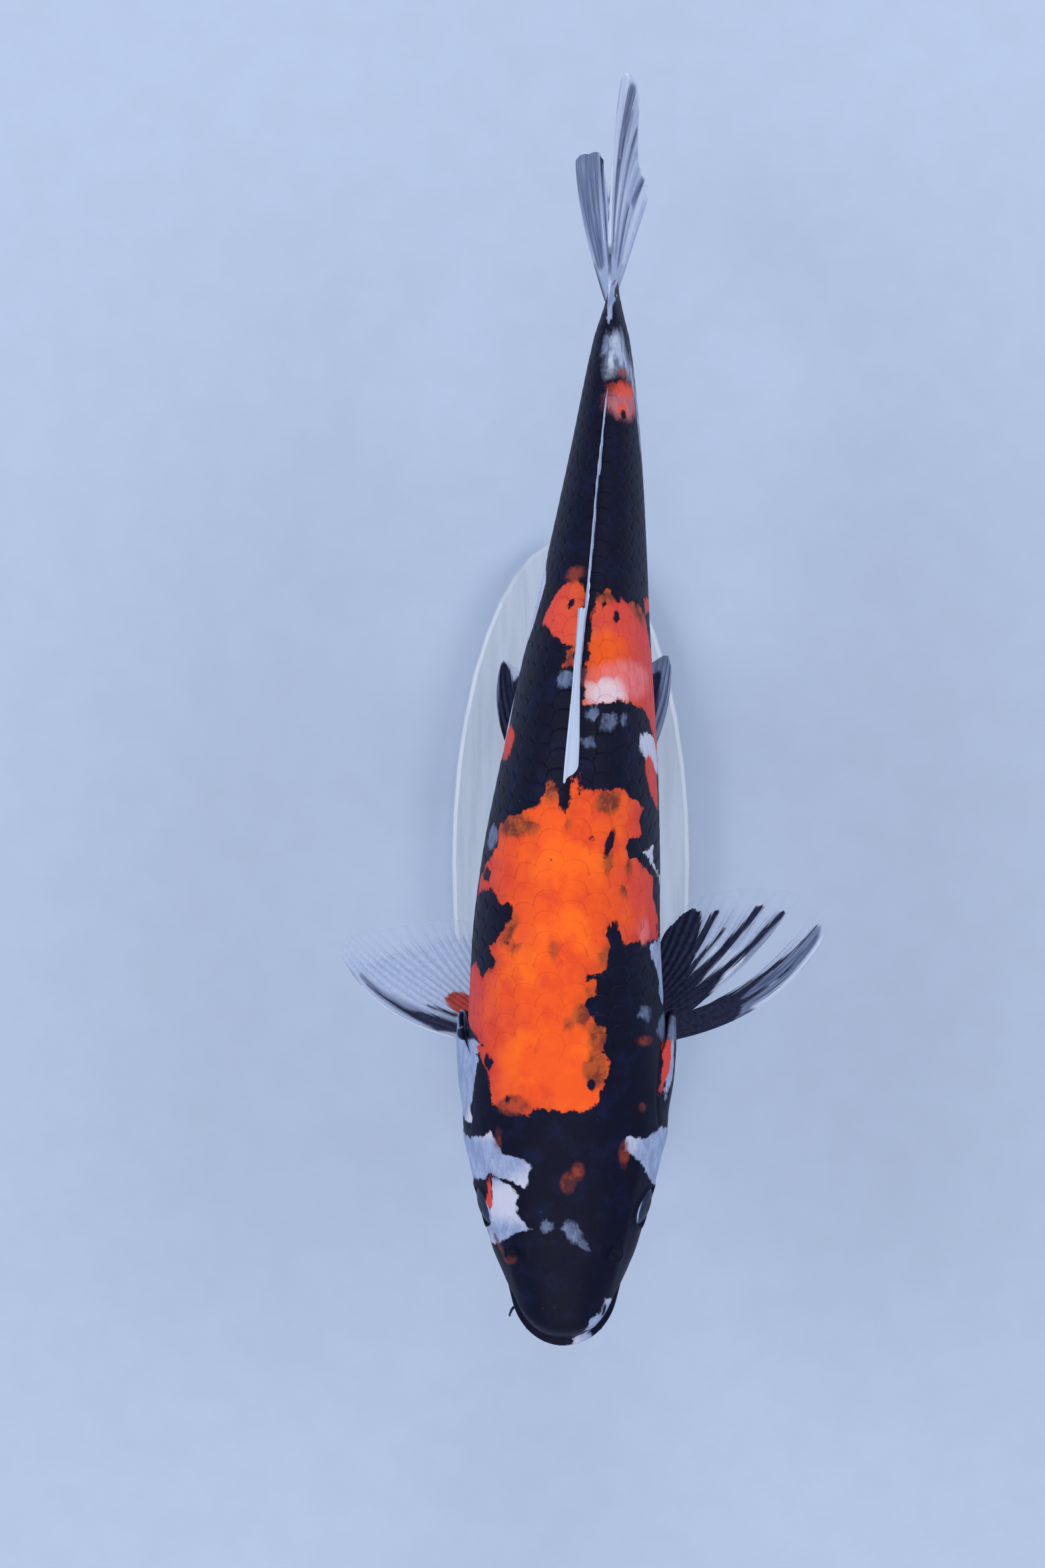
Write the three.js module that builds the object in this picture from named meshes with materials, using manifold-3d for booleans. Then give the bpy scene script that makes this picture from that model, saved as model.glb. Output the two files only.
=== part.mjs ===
// A koi carp as a still, life-size display model: a young Showa-type fish, 440 mm from snout to tail tip,
// gliding with its tail swung a little to its left, its pectoral fins spread and its dorsal fin half folded,
// on a plain oval base with two rods. Millimetres, +Z up, snout towards -Y, the fish's left side towards +X.
// The origin is the centre of the base's underside.
import * as THREE from "three";
import { mergeVertices } from "three/addons/utils/BufferGeometryUtils.js";
import Module from "manifold-3d";

const wasm = await Module();
wasm.setup();

// ---- Driving dimensions ------------------------------------------------------------------------------
const STANDARD_LENGTH = 370; // snout to the root of the tail fin
const AXIS_HEIGHT = 126; // the body's axis above the floor
const BASE_AT = 168; // the base's centre, behind the snout
const BASE_SHIFT = -3; // the body's straight front part lies this far to the right of the base's centre
const GAP = 0.3; // between neighbouring pieces
const RING_POINTS = 32; // points round each body section

const NECK_AT = 104; // where the head ends
const WAIST_AT = 190; // where the rear of the trunk begins
const STALK_AT = 286; // where the tail stalk begins

const EYE = { at: 51, side: 22.6, height: 10, radius: 7.4 };
const COVER = { at: 92, height: -6, radius: 26, frontAt: 81, frontBow: 77, thickness: 1.5 };
const MOUTH = { frontHeight: -7, cornerAt: 21, cornerHeight: -13, jawEnd: 34, lipEnd: 13, lipTop: 5 };
const ROD = { radius: 4, collarRadius: 9, collarHeight: 5, collarEdge: 1.5, places: [120, 232] };
const BASE = { length: 250, width: 92, thickness: 12, bevel: 2 };

// A smooth curve through (distance, value) pairs: cubic between them, flat beyond, with no overshoot.
function profile(pairs) {
  const x = pairs.map((pair) => pair[0]);
  const y = pairs.map((pair) => pair[1]);
  const rise = x.slice(1).map((end, i) => (y[i + 1] - y[i]) / (end - x[i]));
  const slope = x.map((_, i) => {
    if (i === 0) return rise[0];
    if (i === x.length - 1) return rise[i - 1];
    if (rise[i - 1] * rise[i] <= 0) return 0;
    return (2 * rise[i - 1] * rise[i]) / (rise[i - 1] + rise[i]);
  });
  return (at) => {
    if (at <= x[0]) return y[0];
    if (at >= x[x.length - 1]) return y[y.length - 1];
    const i = x.findIndex((end, k) => k > 0 && at <= end) - 1;
    const step = x[i + 1] - x[i];
    const t = (at - x[i]) / step;
    const s = 1 - t;
    return (
      y[i] * s * s * (1 + 2 * t) +
      y[i + 1] * t * t * (3 - 2 * t) +
      step * (slope[i] * t * s * s - slope[i + 1] * t * t * s)
    );
  };
}

// ---- The body's form, by distance behind the snout ----------------------------------------------------
const midline = profile([
  [0, -1], [60, -0.6], [105, 0], [140, 0], [173, 1.9], [200, 4.2], [246, 7.9], [282, 11.3], [320, 14.3],
  [370, 16.8], [440, 21],
]);
const roll = profile([[0, 1], [100, 2], [180, 4], [330, 4], [370, 3.5]]); // degrees, the back to the right
const halfWidth = profile([
  [0, 18.2], [16, 18.8], [22, 20.2], [35, 25.3], [52, 29.6], [64, 33.1], [80, 35.7], [104, 35.3],
  [120, 34.3], [170, 31.4], [216, 26.2], [264, 19.4], [310, 13.2], [343, 8.4], [360, 5.4], [370, 3.9],
]);
const back = profile([
  [0, 9], [12, 12.5], [25, 18], [45, 25.5], [70, 33], [100, 41.5], [145, 51], [188, 55], [225, 51.5],
  [270, 42], [310, 32], [345, 24.5], [361, 22.5], [370, 23.5],
]);
const belly = profile([
  [0, -16], [12, -19], [25, -24], [45, -30.5], [70, -36], [100, -40.5], [150, -44], [195, -43.5],
  [240, -39], [285, -31], [325, -23.5], [350, -20.5], [361, -20], [370, -21.5],
]);
const widestHeight = profile([[0, -6], [20, -6], [50, -1], [100, 0], [180, 3], [300, 2], [370, 1]]);
const upperFullness = profile([[0, 2.2], [30, 2.5], [60, 2.6], [110, 2.3], [160, 2.1], [370, 2]]);
const lowerFullness = profile([[0, 2.2], [40, 2.5], [100, 2.4], [160, 2.2], [370, 2]]);
const coverSwell = profile([[60, 0.1], [81, 0.4], [95, 2.4], [110, 3.7], [118, 4.1]]);
const NOSE_ROUND_PLAN = 20; // how far back the blunt nose rounds off, from above
const NOSE_ROUND_SIDE = 13; // and from the side

// A point in the row frame from a place on the fish: side offset, distance behind the snout, height.
function place(side, at, height) {
  const lean = THREE.MathUtils.degToRad(roll(at));
  const [sine, cosine] = [Math.sin(lean), Math.cos(lean)];
  return new THREE.Vector3(
    BASE_SHIFT + midline(at) + side * cosine - height * sine,
    at - BASE_AT,
    AXIS_HEIGHT + side * sine + height * cosine,
  );
}

const noseRound = (at, reach) => (at >= reach ? 1 : Math.sqrt(1 - (1 - at / reach) ** 2));

// A point of the body's surface, at an angle round the section from the back, standing proud of it.
function skinPoint(at, angle, proud = 0) {
  const sine = Math.sin(angle);
  const cosine = Math.cos(angle);
  const middle = widestHeight(at);
  const fullness = cosine > 0 ? upperFullness(at) : lowerFullness(at);
  const reach = ((cosine > 0 ? back(at) : belly(at)) - middle) * noseRound(at, NOSE_ROUND_SIDE);
  const width = halfWidth(at) * noseRound(at, NOSE_ROUND_PLAN) + proud;
  const bulge = (x) => Math.sign(x) * Math.abs(x) ** (2 / fullness);
  return place(width * bulge(sine), at, middle + (Math.abs(reach) + proud) * bulge(cosine));
}

// ---- Making solids ------------------------------------------------------------------------------------
// A closed geometry through rings of points, each end closed by a zip between the ring's two halves.
function loft(rings) {
  const count = rings[0].length;
  const position = rings.flat().flatMap((p) => [p.x, p.y, p.z]);
  const index = [];
  for (let r = 0; r + 1 < rings.length; r++)
    for (let i = 0; i < count; i++) {
      const [a, b] = [r * count + i, r * count + ((i + 1) % count)];
      index.push(a, b, a + count, b, b + count, a + count);
    }
  const last = (rings.length - 1) * count;
  for (let i = 0; i < count / 2 - 1; i++) {
    const [a, b, c, d] = [i, i + 1, count - 1 - i, count - 2 - i];
    index.push(a, c, b, b, c, d);
    index.push(last + a, last + b, last + c, last + b, last + d, last + c);
  }
  const geometry = new THREE.BufferGeometry();
  geometry.setAttribute("position", new THREE.Float32BufferAttribute(position, 3));
  geometry.setIndex(index);
  return geometry;
}

// A geometry as a solid for cutting and joining, whichever way its faces were wound.
function solid(geometry) {
  const bare = geometry.clone();
  for (const name of Object.keys(bare.attributes)) if (name !== "position") bare.deleteAttribute(name);
  const merged = mergeVertices(bare, 1e-4);
  const corners = [];
  for (let i = 0; i < merged.index.count; i += 3) {
    const [a, b, c] = [0, 1, 2].map((k) => merged.index.getX(i + k));
    if (a !== b && b !== c && a !== c) corners.push(a, b, c);
  }
  const make = (triangles) =>
    new wasm.Manifold(
      new wasm.Mesh({
        numProp: 3,
        vertProperties: new Float32Array(merged.attributes.position.array),
        triVerts: new Uint32Array(triangles),
      }),
    );
  const made = make(corners);
  return made.volume() < 0 ? make(corners.reverse()) : made;
}

// The largest piece of a solid, without the specks that a cut can leave.
function whole(shape) {
  return shape.decompose().sort((a, b) => b.volume() - a.volume())[0];
}

function geometryOf(shape) {
  const mesh = shape.getMesh();
  const position = new Float32Array(mesh.numVert * 3);
  for (let i = 0; i < mesh.numVert; i++)
    position.set(mesh.vertProperties.subarray(i * mesh.numProp, i * mesh.numProp + 3), i * 3);
  const geometry = new THREE.BufferGeometry();
  geometry.setAttribute("position", new THREE.BufferAttribute(position, 3));
  geometry.setIndex(new THREE.BufferAttribute(mesh.triVerts, 1));
  geometry.computeVertexNormals();
  return geometry;
}

// Distances from one place to another, packed closer towards the first where ease is over 1.
function stations(from, to, count, ease = 1) {
  return Array.from({ length: count }, (_, i) => from + (to - from) * (i / (count - 1)) ** ease);
}

// A length of the body through the given distances, its surface standing proud by a distance's own amount.
function bodyLength(places, proud = () => 0) {
  const rings = places.map((at) =>
    Array.from({ length: RING_POINTS }, (_, i) =>
      skinPoint(at, ((i + 0.5) / RING_POINTS) * 2 * Math.PI, proud(at)),
    ),
  );
  return solid(loft(rings));
}

// A straight bar across the fish between two side offsets, its outline drawn in distance and height.
function barAcross(outline, fromSide, toSide) {
  const depth = toSide - fromSide;
  const bar = new THREE.ExtrudeGeometry(outline, { depth, bevelEnabled: false, curveSegments: 12 });
  const turn = new THREE.Matrix4().makeBasis(
    new THREE.Vector3(0, 1, 0),
    new THREE.Vector3(0, 0, 1),
    new THREE.Vector3(1, 0, 0),
  );
  return solid(bar.applyMatrix4(turn.setPosition(BASE_SHIFT + fromSide, -BASE_AT, AXIS_HEIGHT)));
}

function shapeOf(points) {
  return new THREE.Shape(points.map((point) => new THREE.Vector2(...point)));
}

// Everything between two distances behind the snout and between two heights.
function slab(from, to, low = -AXIS_HEIGHT, high = 120) {
  return barAcross(shapeOf([[from, low], [to, low], [to, high], [from, high]]), -110, 110);
}

const BODY_STATIONS = [...stations(0.4, 56, 11, 1.7), ...stations(66, STANDARD_LENGTH, 20)];
const bodyWhole = bodyLength(BODY_STATIONS);
const bodyClear = bodyLength([...BODY_STATIONS.slice(0, -1), STANDARD_LENGTH + GAP], () => GAP);

const lengthOf = (from, to) => whole(bodyWhole.intersect(slab(from + GAP / 2, to - GAP / 2)));
const clearOfBody = (shape) => whole(shape.subtract(bodyClear));

// ---- Gill covers: plates with a round rear edge, let into the sides of the head ---------------------------
// A cover's outline in the side view, grown all round.
function coverOutline(grow) {
  const radius = COVER.radius + grow;
  const front = COVER.frontAt - grow;
  const turn = Math.acos((front - COVER.at) / radius);
  const outline = new THREE.Shape();
  outline.absarc(COVER.at, COVER.height, radius, -turn, turn, false);
  outline.quadraticCurveTo(COVER.frontBow - grow, COVER.height, front, COVER.height - radius * Math.sin(turn));
  return outline;
}

const coverBar = (side, grow) => barAcross(coverOutline(grow), side > 0 ? 8 : -60, side > 0 ? 60 : -8);

const COVER_STATIONS = stations(70, COVER.at + COVER.radius + 3, 7);
const UNDER_STATIONS = stations(62, COVER.at + COVER.radius + 8, 7);
const underCover = profile([[96, -COVER.thickness], [112, 1]]);
const coverOuter = bodyLength(COVER_STATIONS, coverSwell);
const coverInner = bodyLength(UNDER_STATIONS, underCover);
const pocketFloor = bodyLength(UNDER_STATIONS, (at) => underCover(at) - GAP);
const trunkClear = bodyClear.intersect(slab(NECK_AT - GAP, COVER.at + COVER.radius + 9));

function gillCover(side) {
  return whole(coverOuter.subtract(coverInner).subtract(trunkClear).intersect(coverBar(side, 0)));
}

function coverClear(side) {
  return bodyLength(COVER_STATIONS, (at) => coverSwell(at) + GAP).intersect(coverBar(side, GAP));
}

// ---- Head, jaws and eyes --------------------------------------------------------------------------------
function eyeball(side, grow = 0) {
  const ball = new THREE.SphereGeometry(EYE.radius + grow, 14, 8);
  return solid(ball.translate(...place(side * EYE.side, EYE.at, EYE.height).toArray()));
}

// The space under a line that runs back and down from the mouth's front through its corner.
function belowMouth(drop) {
  const slope = (MOUTH.cornerHeight - MOUTH.frontHeight) / MOUTH.cornerAt;
  const lineAt = (at) => MOUTH.frontHeight + at * slope - drop;
  const [front, low] = [-5, -60];
  const outline = [[front, lineAt(front)], [front, low], [MOUTH.jawEnd, low], [MOUTH.jawEnd, lineAt(MOUTH.jawEnd)]];
  return barAcross(shapeOf(outline), -40, 40);
}

const headWhole = lengthOf(-5, NECK_AT);
const lowerJaw = whole(headWhole.intersect(belowMouth(GAP / 2)).subtract(slab(MOUTH.jawEnd - GAP, NECK_AT)));
const aboveJaw = headWhole.subtract(belowMouth(-GAP / 2));
const upperLip = whole(aboveJaw.intersect(slab(-5, MOUTH.lipEnd - GAP / 2, -60, MOUTH.lipTop)));
const behindLip = aboveJaw.subtract(slab(-5, MOUTH.lipEnd + GAP / 2, -60, MOUTH.lipTop + GAP));

function headPiece() {
  let head = behindLip;
  for (const side of [-1, 1]) {
    head = head.subtract(eyeball(side, GAP));
    head = head.subtract(coverBar(side, GAP).subtract(pocketFloor));
  }
  return whole(head);
}

// ---- Barbels: tapered feelers through a few points -------------------------------------------------------
function barbel(points, rootRadius, tipRadius) {
  const path = new THREE.CatmullRomCurve3(points.map((point) => place(...point)));
  const steps = 8;
  const sides = 6;
  const frames = path.computeFrenetFrames(steps, false);
  const rings = Array.from({ length: steps + 1 }, (_, i) => {
    const radius = THREE.MathUtils.lerp(rootRadius, tipRadius, i / steps);
    const centre = path.getPointAt(i / steps);
    return Array.from({ length: sides }, (_, k) => {
      const turn = (k / sides) * 2 * Math.PI;
      return centre
        .clone()
        .addScaledVector(frames.normals[i], radius * Math.cos(turn))
        .addScaledVector(frames.binormals[i], radius * Math.sin(turn));
    });
  });
  return clearOfBody(solid(loft(rings)));
}

const CORNER_BARBELS = {
  left: [[15.5, 16, -10.5], [17.4, 14.5, -13], [17.8, 13.8, -17.5], [17, 14.2, -22], [15.8, 15.6, -26]],
  right: [[-15.5, 14, -10.5], [-18.2, 11.8, -12.5], [-19.2, 9.5, -16.5], [-18.8, 8.6, -21], [-17.8, 9.2, -25.5]],
};
const lipBarbel = (side) => [
  [side * 9, 7, -3.5], [side * 13, 5, -6.5], [side * 14, 4, -10], [side * 13.4, 4.6, -13.5],
];

// ---- Fins: each a fan of rays between three curves, its root, its bend and its edge ----------------------
// Each curve goes through points given as side offset, distance behind the snout and height.
const evenly = (count) => stations(0, 1, count);

const DORSAL = {
  thickness: [2.6, 0.8],
  rays: evenly(15),
  root: [[0, 189, 50], [0, 232, 46.5], [0, 278, 37], [0, 322, 26]],
  bend: [[0, 220, 66.5], [0, 240, 59], [0, 268, 49.5], [0, 302, 40], [0, 329, 32]],
  edge: [[-0.3, 257.5, 74], [1.6, 258.5, 65], [0.6, 276, 54], [-0.2, 306, 42], [1, 334.6, 33]],
};
const TAIL_UPPER = {
  thickness: [2.6, 0.7],
  rays: evenly(13),
  root: [[-0.3, 365, 20.5], [0, 368, 10], [0.3, 369.5, 0.8]],
  bend: [[-4.2, 410, 35], [-1, 405, 18], [4.3, 385, 2]],
  edge: [[2.8, 439.3, 60], [5.9, 434, 52], [7.2, 423.5, 40], [9, 411, 25], [10.2, 404.5, 9]],
};
const TAIL_LOWER = {
  thickness: [2.6, 0.7],
  rays: evenly(13),
  root: [[0, 369.5, -0.8], [-0.6, 368, -9], [-1.2, 365, -18.5]],
  bend: [[-1, 387, -5], [-5, 398, -22], [-10.4, 402, -45]],
  edge: [[-3, 404, -11], [-7, 417, -29], [-10.9, 430, -50], [-16.3, 432.7, -64], [-21.3, 432, -75]],
};
const ANAL = {
  thickness: [2.4, 0.7],
  rays: evenly(9),
  root: [[0, 284, -27], [0, 298, -24.5], [0, 312, -22]],
  bend: [[0, 299, -52], [1, 309, -44], [1, 321, -33]],
  edge: [[2, 322, -71], [4, 328, -60], [3, 333, -49], [1.5, 334, -40]],
};
const PECTORALS = {
  left: {
    thickness: [3, 0.7],
    rays: [0, 0.07, 0.14, 0.2, 0.215, 0.31, 0.325, 0.4, 0.5, 0.6, 0.7, 0.8, 0.9, 1],
    reach: profile([[0.2, 1], [0.215, 0.26], [0.31, 0.26], [0.325, 1]]), // a slit behind the leading rays
    root: [[26, 105, -25], [25.5, 112, -28], [23, 118, -31]],
    bend: [[74, 112, -32], [60, 126, -33], [46, 133, -33], [30, 136, -34]],
    edge: [
      [91, 148, -36], [88, 155, -36], [80, 160.5, -36], [70, 161.5, -37], [54, 160.5, -38], [44, 157, -38],
      [35, 148, -38],
    ],
  },
  right: {
    thickness: [3, 0.7],
    rays: evenly(13),
    root: [[-26, 105, -25], [-25.5, 112, -28], [-23, 118, -31]],
    bend: [[-67, 107, -36], [-55, 122, -38], [-44, 130, -38], [-30, 133, -36]],
    edge: [
      [-85.3, 136, -50], [-84, 141.5, -50], [-80, 144, -50], [-69, 145.5, -48], [-54, 148.5, -46],
      [-45.5, 150, -42], [-36, 147.5, -40],
    ],
  },
};
const PELVICS = {
  left: {
    thickness: [2.8, 0.7],
    rays: evenly(9),
    root: [[9.5, 188, -40], [6.5, 192, -41], [3, 196, -42]],
    bend: [[30.5, 211, -41.5], [18, 214, -47], [8, 212, -50]],
    edge: [[28, 241, -51.5], [26, 246, -53], [21, 243.6, -56], [13, 238, -58], [6, 230, -56]],
  },
  right: {
    thickness: [2.8, 0.7],
    rays: evenly(9),
    root: [[-9.5, 188, -40], [-6.5, 192, -41], [-3, 196, -42]],
    bend: [[-37, 212, -44], [-24, 214, -48], [-12, 211, -50]],
    edge: [[-35.3, 239, -51], [-34, 244.4, -53], [-27.4, 240, -56], [-18, 236, -58], [-8, 229, -56]],
  },
};

// A ray leaves the root curve towards the bend curve and ends at the edge curve, as a quadratic curve.
function finPoint(curves, across, along) {
  const [root, bend, edge] = curves.map((curve) => curve.getPoint(across));
  const rest = 1 - along;
  return root
    .multiplyScalar(rest * rest)
    .addScaledVector(bend, 2 * rest * along)
    .addScaledVector(edge, along * along);
}

function finBlade(fin) {
  const curves = [fin.root, fin.bend, fin.edge].map(
    (points) => new THREE.CatmullRomCurve3(points.map((point) => place(...point)), false, "centripetal"),
  );
  const nudge = 0.01;
  const face = (across, along, side) => {
    const point = finPoint(curves, across, along);
    const sideways = finPoint(curves, Math.min(across + nudge, 1), along).sub(
      finPoint(curves, Math.max(across - nudge, 0), along),
    );
    const outwards = finPoint(curves, across, along + nudge).sub(finPoint(curves, across, along - nudge));
    const half = THREE.MathUtils.lerp(...fin.thickness, along ** 0.7) / 2;
    return point.addScaledVector(sideways.cross(outwards).normalize(), side * half);
  };
  const rings = fin.rays.map((across) => {
    const alongs = stations(0, fin.reach?.(across) ?? 1, 7);
    return [
      ...alongs.map((along) => face(across, along, 1)),
      ...alongs.reverse().map((along) => face(across, along, -1)),
    ];
  });
  return solid(loft(rings));
}

const fin = (curves) => clearOfBody(finBlade(curves));
const pectoralFin = (name, side) => fin(PECTORALS[name]).subtract(coverClear(side));

// ---- Stand ------------------------------------------------------------------------------------------------
function standBase() {
  const outline = new THREE.Shape();
  outline.absellipse(0, 0, BASE.width / 2 - BASE.bevel, BASE.length / 2 - BASE.bevel, 0, 2 * Math.PI);
  const plate = new THREE.ExtrudeGeometry(outline, {
    depth: BASE.thickness - BASE.bevel,
    bevelThickness: BASE.bevel,
    bevelSize: BASE.bevel,
    bevelSegments: 2,
    curveSegments: 20,
  });
  const aboveFloor = slab(-BASE.length, 2 * BASE.length, -AXIS_HEIGHT, BASE.thickness - AXIS_HEIGHT);
  return solid(plate).intersect(aboveFloor);
}

function standRod(at) {
  const height = AXIS_HEIGHT + belly(at) + 6 - BASE.thickness;
  const { radius, collarRadius, collarHeight, collarEdge } = ROD;
  const outline = [
    [0, GAP], [collarRadius, GAP], [collarRadius, collarHeight - collarEdge],
    [collarRadius - collarEdge, collarHeight], [radius, collarHeight], [radius, height], [0, height],
  ].map(([out, rise]) => new THREE.Vector2(out, rise));
  const turned = new THREE.LatheGeometry(outline, 20).rotateX(Math.PI / 2);
  turned.translate(BASE_SHIFT + midline(at), at - BASE_AT, BASE.thickness);
  return clearOfBody(solid(turned));
}

// ---- The scene ----------------------------------------------------------------------------------------------
const skin = new THREE.MeshStandardMaterial({ color: 0x1d1d33, roughness: 0.35, metalness: 0 });
const finTissue = new THREE.MeshStandardMaterial({ color: 0xb9c6e8, roughness: 0.4, metalness: 0 });
const eye = new THREE.MeshStandardMaterial({ color: 0x101018, roughness: 0.05, metalness: 0 });
const lacquer = new THREE.MeshStandardMaterial({ color: 0xe4e7ea, roughness: 0.45, metalness: 0 });
const steel = new THREE.MeshStandardMaterial({ color: 0xb8bcc0, roughness: 0.3, metalness: 1 });

const koi = new THREE.Group();

function add(name, shape, material) {
  const mesh = new THREE.Mesh(geometryOf(shape), material);
  mesh.name = name;
  koi.add(mesh);
}

add("head", headPiece(), skin);
add("upper_lip", upperLip, skin);
add("lower_jaw", lowerJaw, skin);
add("trunk_front", lengthOf(NECK_AT, WAIST_AT), skin);
add("trunk_rear", lengthOf(WAIST_AT, STALK_AT), skin);
add("tail_stalk", lengthOf(STALK_AT, STANDARD_LENGTH + 1), skin);

for (const [name, side] of [["left", 1], ["right", -1]]) {
  add(`eye_${name}`, eyeball(side), eye);
  add(`gill_cover_${name}`, gillCover(side), skin);
  add(`barbel_corner_${name}`, barbel(CORNER_BARBELS[name], 0.9, 0.4), skin);
  add(`barbel_lip_${name}`, barbel(lipBarbel(side), 0.6, 0.35), skin);
  add(`pectoral_fin_${name}`, pectoralFin(name, side), finTissue);
  add(`pelvic_fin_${name}`, fin(PELVICS[name]), finTissue);
}

add("dorsal_fin", fin(DORSAL), finTissue);
add("tail_fin_upper", fin(TAIL_UPPER), finTissue);
add("tail_fin_lower", fin(TAIL_LOWER), finTissue);
add("anal_fin", fin(ANAL), finTissue);

add("stand_base", standBase(), lacquer);
ROD.places.forEach((at, i) => add(`stand_rod_${["front", "rear"][i]}`, standRod(at), steel));

export default koi;
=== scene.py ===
import math

import bpy
import numpy as np
from mathutils import Matrix, Vector


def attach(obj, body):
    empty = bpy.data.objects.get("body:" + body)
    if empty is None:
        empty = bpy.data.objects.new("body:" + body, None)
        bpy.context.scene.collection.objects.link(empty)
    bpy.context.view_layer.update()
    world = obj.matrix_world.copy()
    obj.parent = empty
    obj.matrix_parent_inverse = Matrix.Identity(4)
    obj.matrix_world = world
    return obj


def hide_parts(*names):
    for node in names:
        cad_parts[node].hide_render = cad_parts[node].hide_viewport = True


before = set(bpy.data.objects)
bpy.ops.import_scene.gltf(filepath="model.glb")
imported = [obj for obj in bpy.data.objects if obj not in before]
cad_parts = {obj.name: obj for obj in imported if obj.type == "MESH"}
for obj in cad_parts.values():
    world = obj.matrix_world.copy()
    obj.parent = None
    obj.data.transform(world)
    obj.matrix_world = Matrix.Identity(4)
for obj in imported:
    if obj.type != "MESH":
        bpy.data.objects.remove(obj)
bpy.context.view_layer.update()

bl_info = {
    "name": "Koi Carp Model",
    "version": (1, 0, 0),
    "blender": (4, 5, 0),
    "location": "3D View > Sidebar > Koi",
    "description": "Builds the skin, scales, eyes, fins and stage of a koi carp display model",
    "category": "Add Mesh",
}

MM = 0.001
BODY = "root"

# ---- The fish's own measures, in millimetres ---------------------------------------------------------
# Side is towards the fish's left, at is the distance behind the snout, height is over the body's axis.
STANDARD_LENGTH = 370
AXIS_HEIGHT = 126
BASE_AT = 168
BASE_SHIFT = -3
NOSE_ROUND_PLAN = 20
NOSE_ROUND_SIDE = 13
EYE = {"at": 51, "height": 10, "radius": 7.1, "ball": 8.4, "bulge": 4.3, "set_in": 2.8}
COVER = {"at": 92, "height": -6, "radius": 26}
CHEEK = {"at": 58, "height": -6, "radius": 21}
NOSTRIL = {"at": 35.5, "round": 18, "flap": 3.2, "rim": 4.2}
SHOULDER = {"at": 112, "height": -28}
HIP = {"at": 190, "side": 6}
VENT_AT = 277
# The thin edge that the tail fin grows from
TAIL_EDGE = {"from": 354, "narrowing": 0.68, "bow": 5.5, "half_height": 25}
MOUTH = {"front_height": -7, "corner_at": 21, "corner_height": -13}

# Pairs of a distance behind the snout and the value there.
MIDLINE = [(0, -1), (60, -0.6), (105, 0), (140, 0), (173, 1.9), (200, 4.2), (246, 7.9), (282, 11.3),
           (320, 14.3), (370, 16.8), (440, 21)]
ROLL = [(0, 1), (100, 2), (180, 4), (330, 4), (370, 3.5)]
HALF_WIDTH = [(0, 18.2), (16, 18.8), (22, 20.2), (35, 25.3), (52, 29.6), (64, 33.1), (80, 35.7),
              (104, 35.3), (120, 34.3), (170, 31.4), (216, 26.2), (264, 19.4), (310, 13.2), (343, 8.4),
              (360, 5.4), (370, 3.9)]
BACK = [(0, 9), (12, 12.5), (25, 18), (45, 25.5), (70, 33), (100, 41.5), (145, 51), (188, 55), (225, 51.5),
        (270, 42), (310, 32), (345, 24.5), (361, 22.5), (370, 23.5)]
BELLY = [(0, -16), (12, -19), (25, -24), (45, -30.5), (70, -36), (100, -40.5), (150, -44), (195, -43.5),
         (240, -39), (285, -31), (325, -23.5), (350, -20.5), (361, -20), (370, -21.5)]
WIDEST_HEIGHT = [(0, -6), (20, -6), (50, -1), (100, 0), (180, 3), (300, 2), (370, 1)]
UPPER_FULLNESS = [(0, 2.2), (30, 2.5), (60, 2.6), (110, 2.3), (160, 2.1), (370, 2)]
LOWER_FULLNESS = [(0, 2.2), (40, 2.5), (100, 2.4), (160, 2.2), (370, 2)]
COVER_SWELL = [(60, 0.1), (81, 0.4), (95, 2.4), (110, 3.7), (118, 4.1)]

# Where the scales begin, by the way round from the back.
SCALES_START = [(0, 99), (24, 102), (40, 110), (52, 120), (90, 121), (108, 114), (130, 108)]
# Where each band of scales begins, and its rows as a share of the rows at the shoulder.
SCALE_BANDS = [(94, 1), (262, 0.87), (305, 0.74), (338, 0.6)]
SCALES_END = 362


def profile(pairs, at):
    """A smooth line through the pairs without overshoot, level beyond both ends."""
    places, values = np.array(pairs, float).T
    rise = np.diff(values) / np.diff(places)
    slope = np.empty(len(places))
    slope[0] = rise[0]
    slope[-1] = rise[-1]
    product = rise[:-1] * rise[1:]
    total = rise[:-1] + rise[1:]
    slope[1:-1] = np.where(product > 0, 2 * product / np.where(total == 0, 1, total), 0)
    at = np.clip(at, places[0], places[-1])
    i = np.clip(np.searchsorted(places, at, side="right") - 1, 0, len(places) - 2)
    span = places[i + 1] - places[i]
    f = (at - places[i]) / span
    return (
        (2 * f**3 - 3 * f**2 + 1) * values[i]
        + (f**3 - 2 * f**2 + f) * span * slope[i]
        + (3 * f**2 - 2 * f**3) * values[i + 1]
        + (f**3 - f**2) * span * slope[i + 1]
    )


def smooth(low, high, value):
    """An eased step from 0 at low to 1 at high."""
    t = np.clip((value - low) / (high - low), 0, 1)
    return t * t * (3 - 2 * t)


def bump(distance, width):
    """A soft ridge, 1 in the middle and fading within about twice the width."""
    return np.exp(-((distance / width) ** 2))


def nose_round(at, reach):
    """Share of the full outline this far behind the snout, rounded off within a reach."""
    return np.where(at >= reach, 1, np.sqrt(np.clip(1 - (1 - at / reach) ** 2, 0, 1)))


def unit(vectors):
    """The same directions at length 1."""
    return vectors / np.maximum(np.linalg.norm(vectors, axis=-1, keepdims=True), 1e-9)


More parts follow.
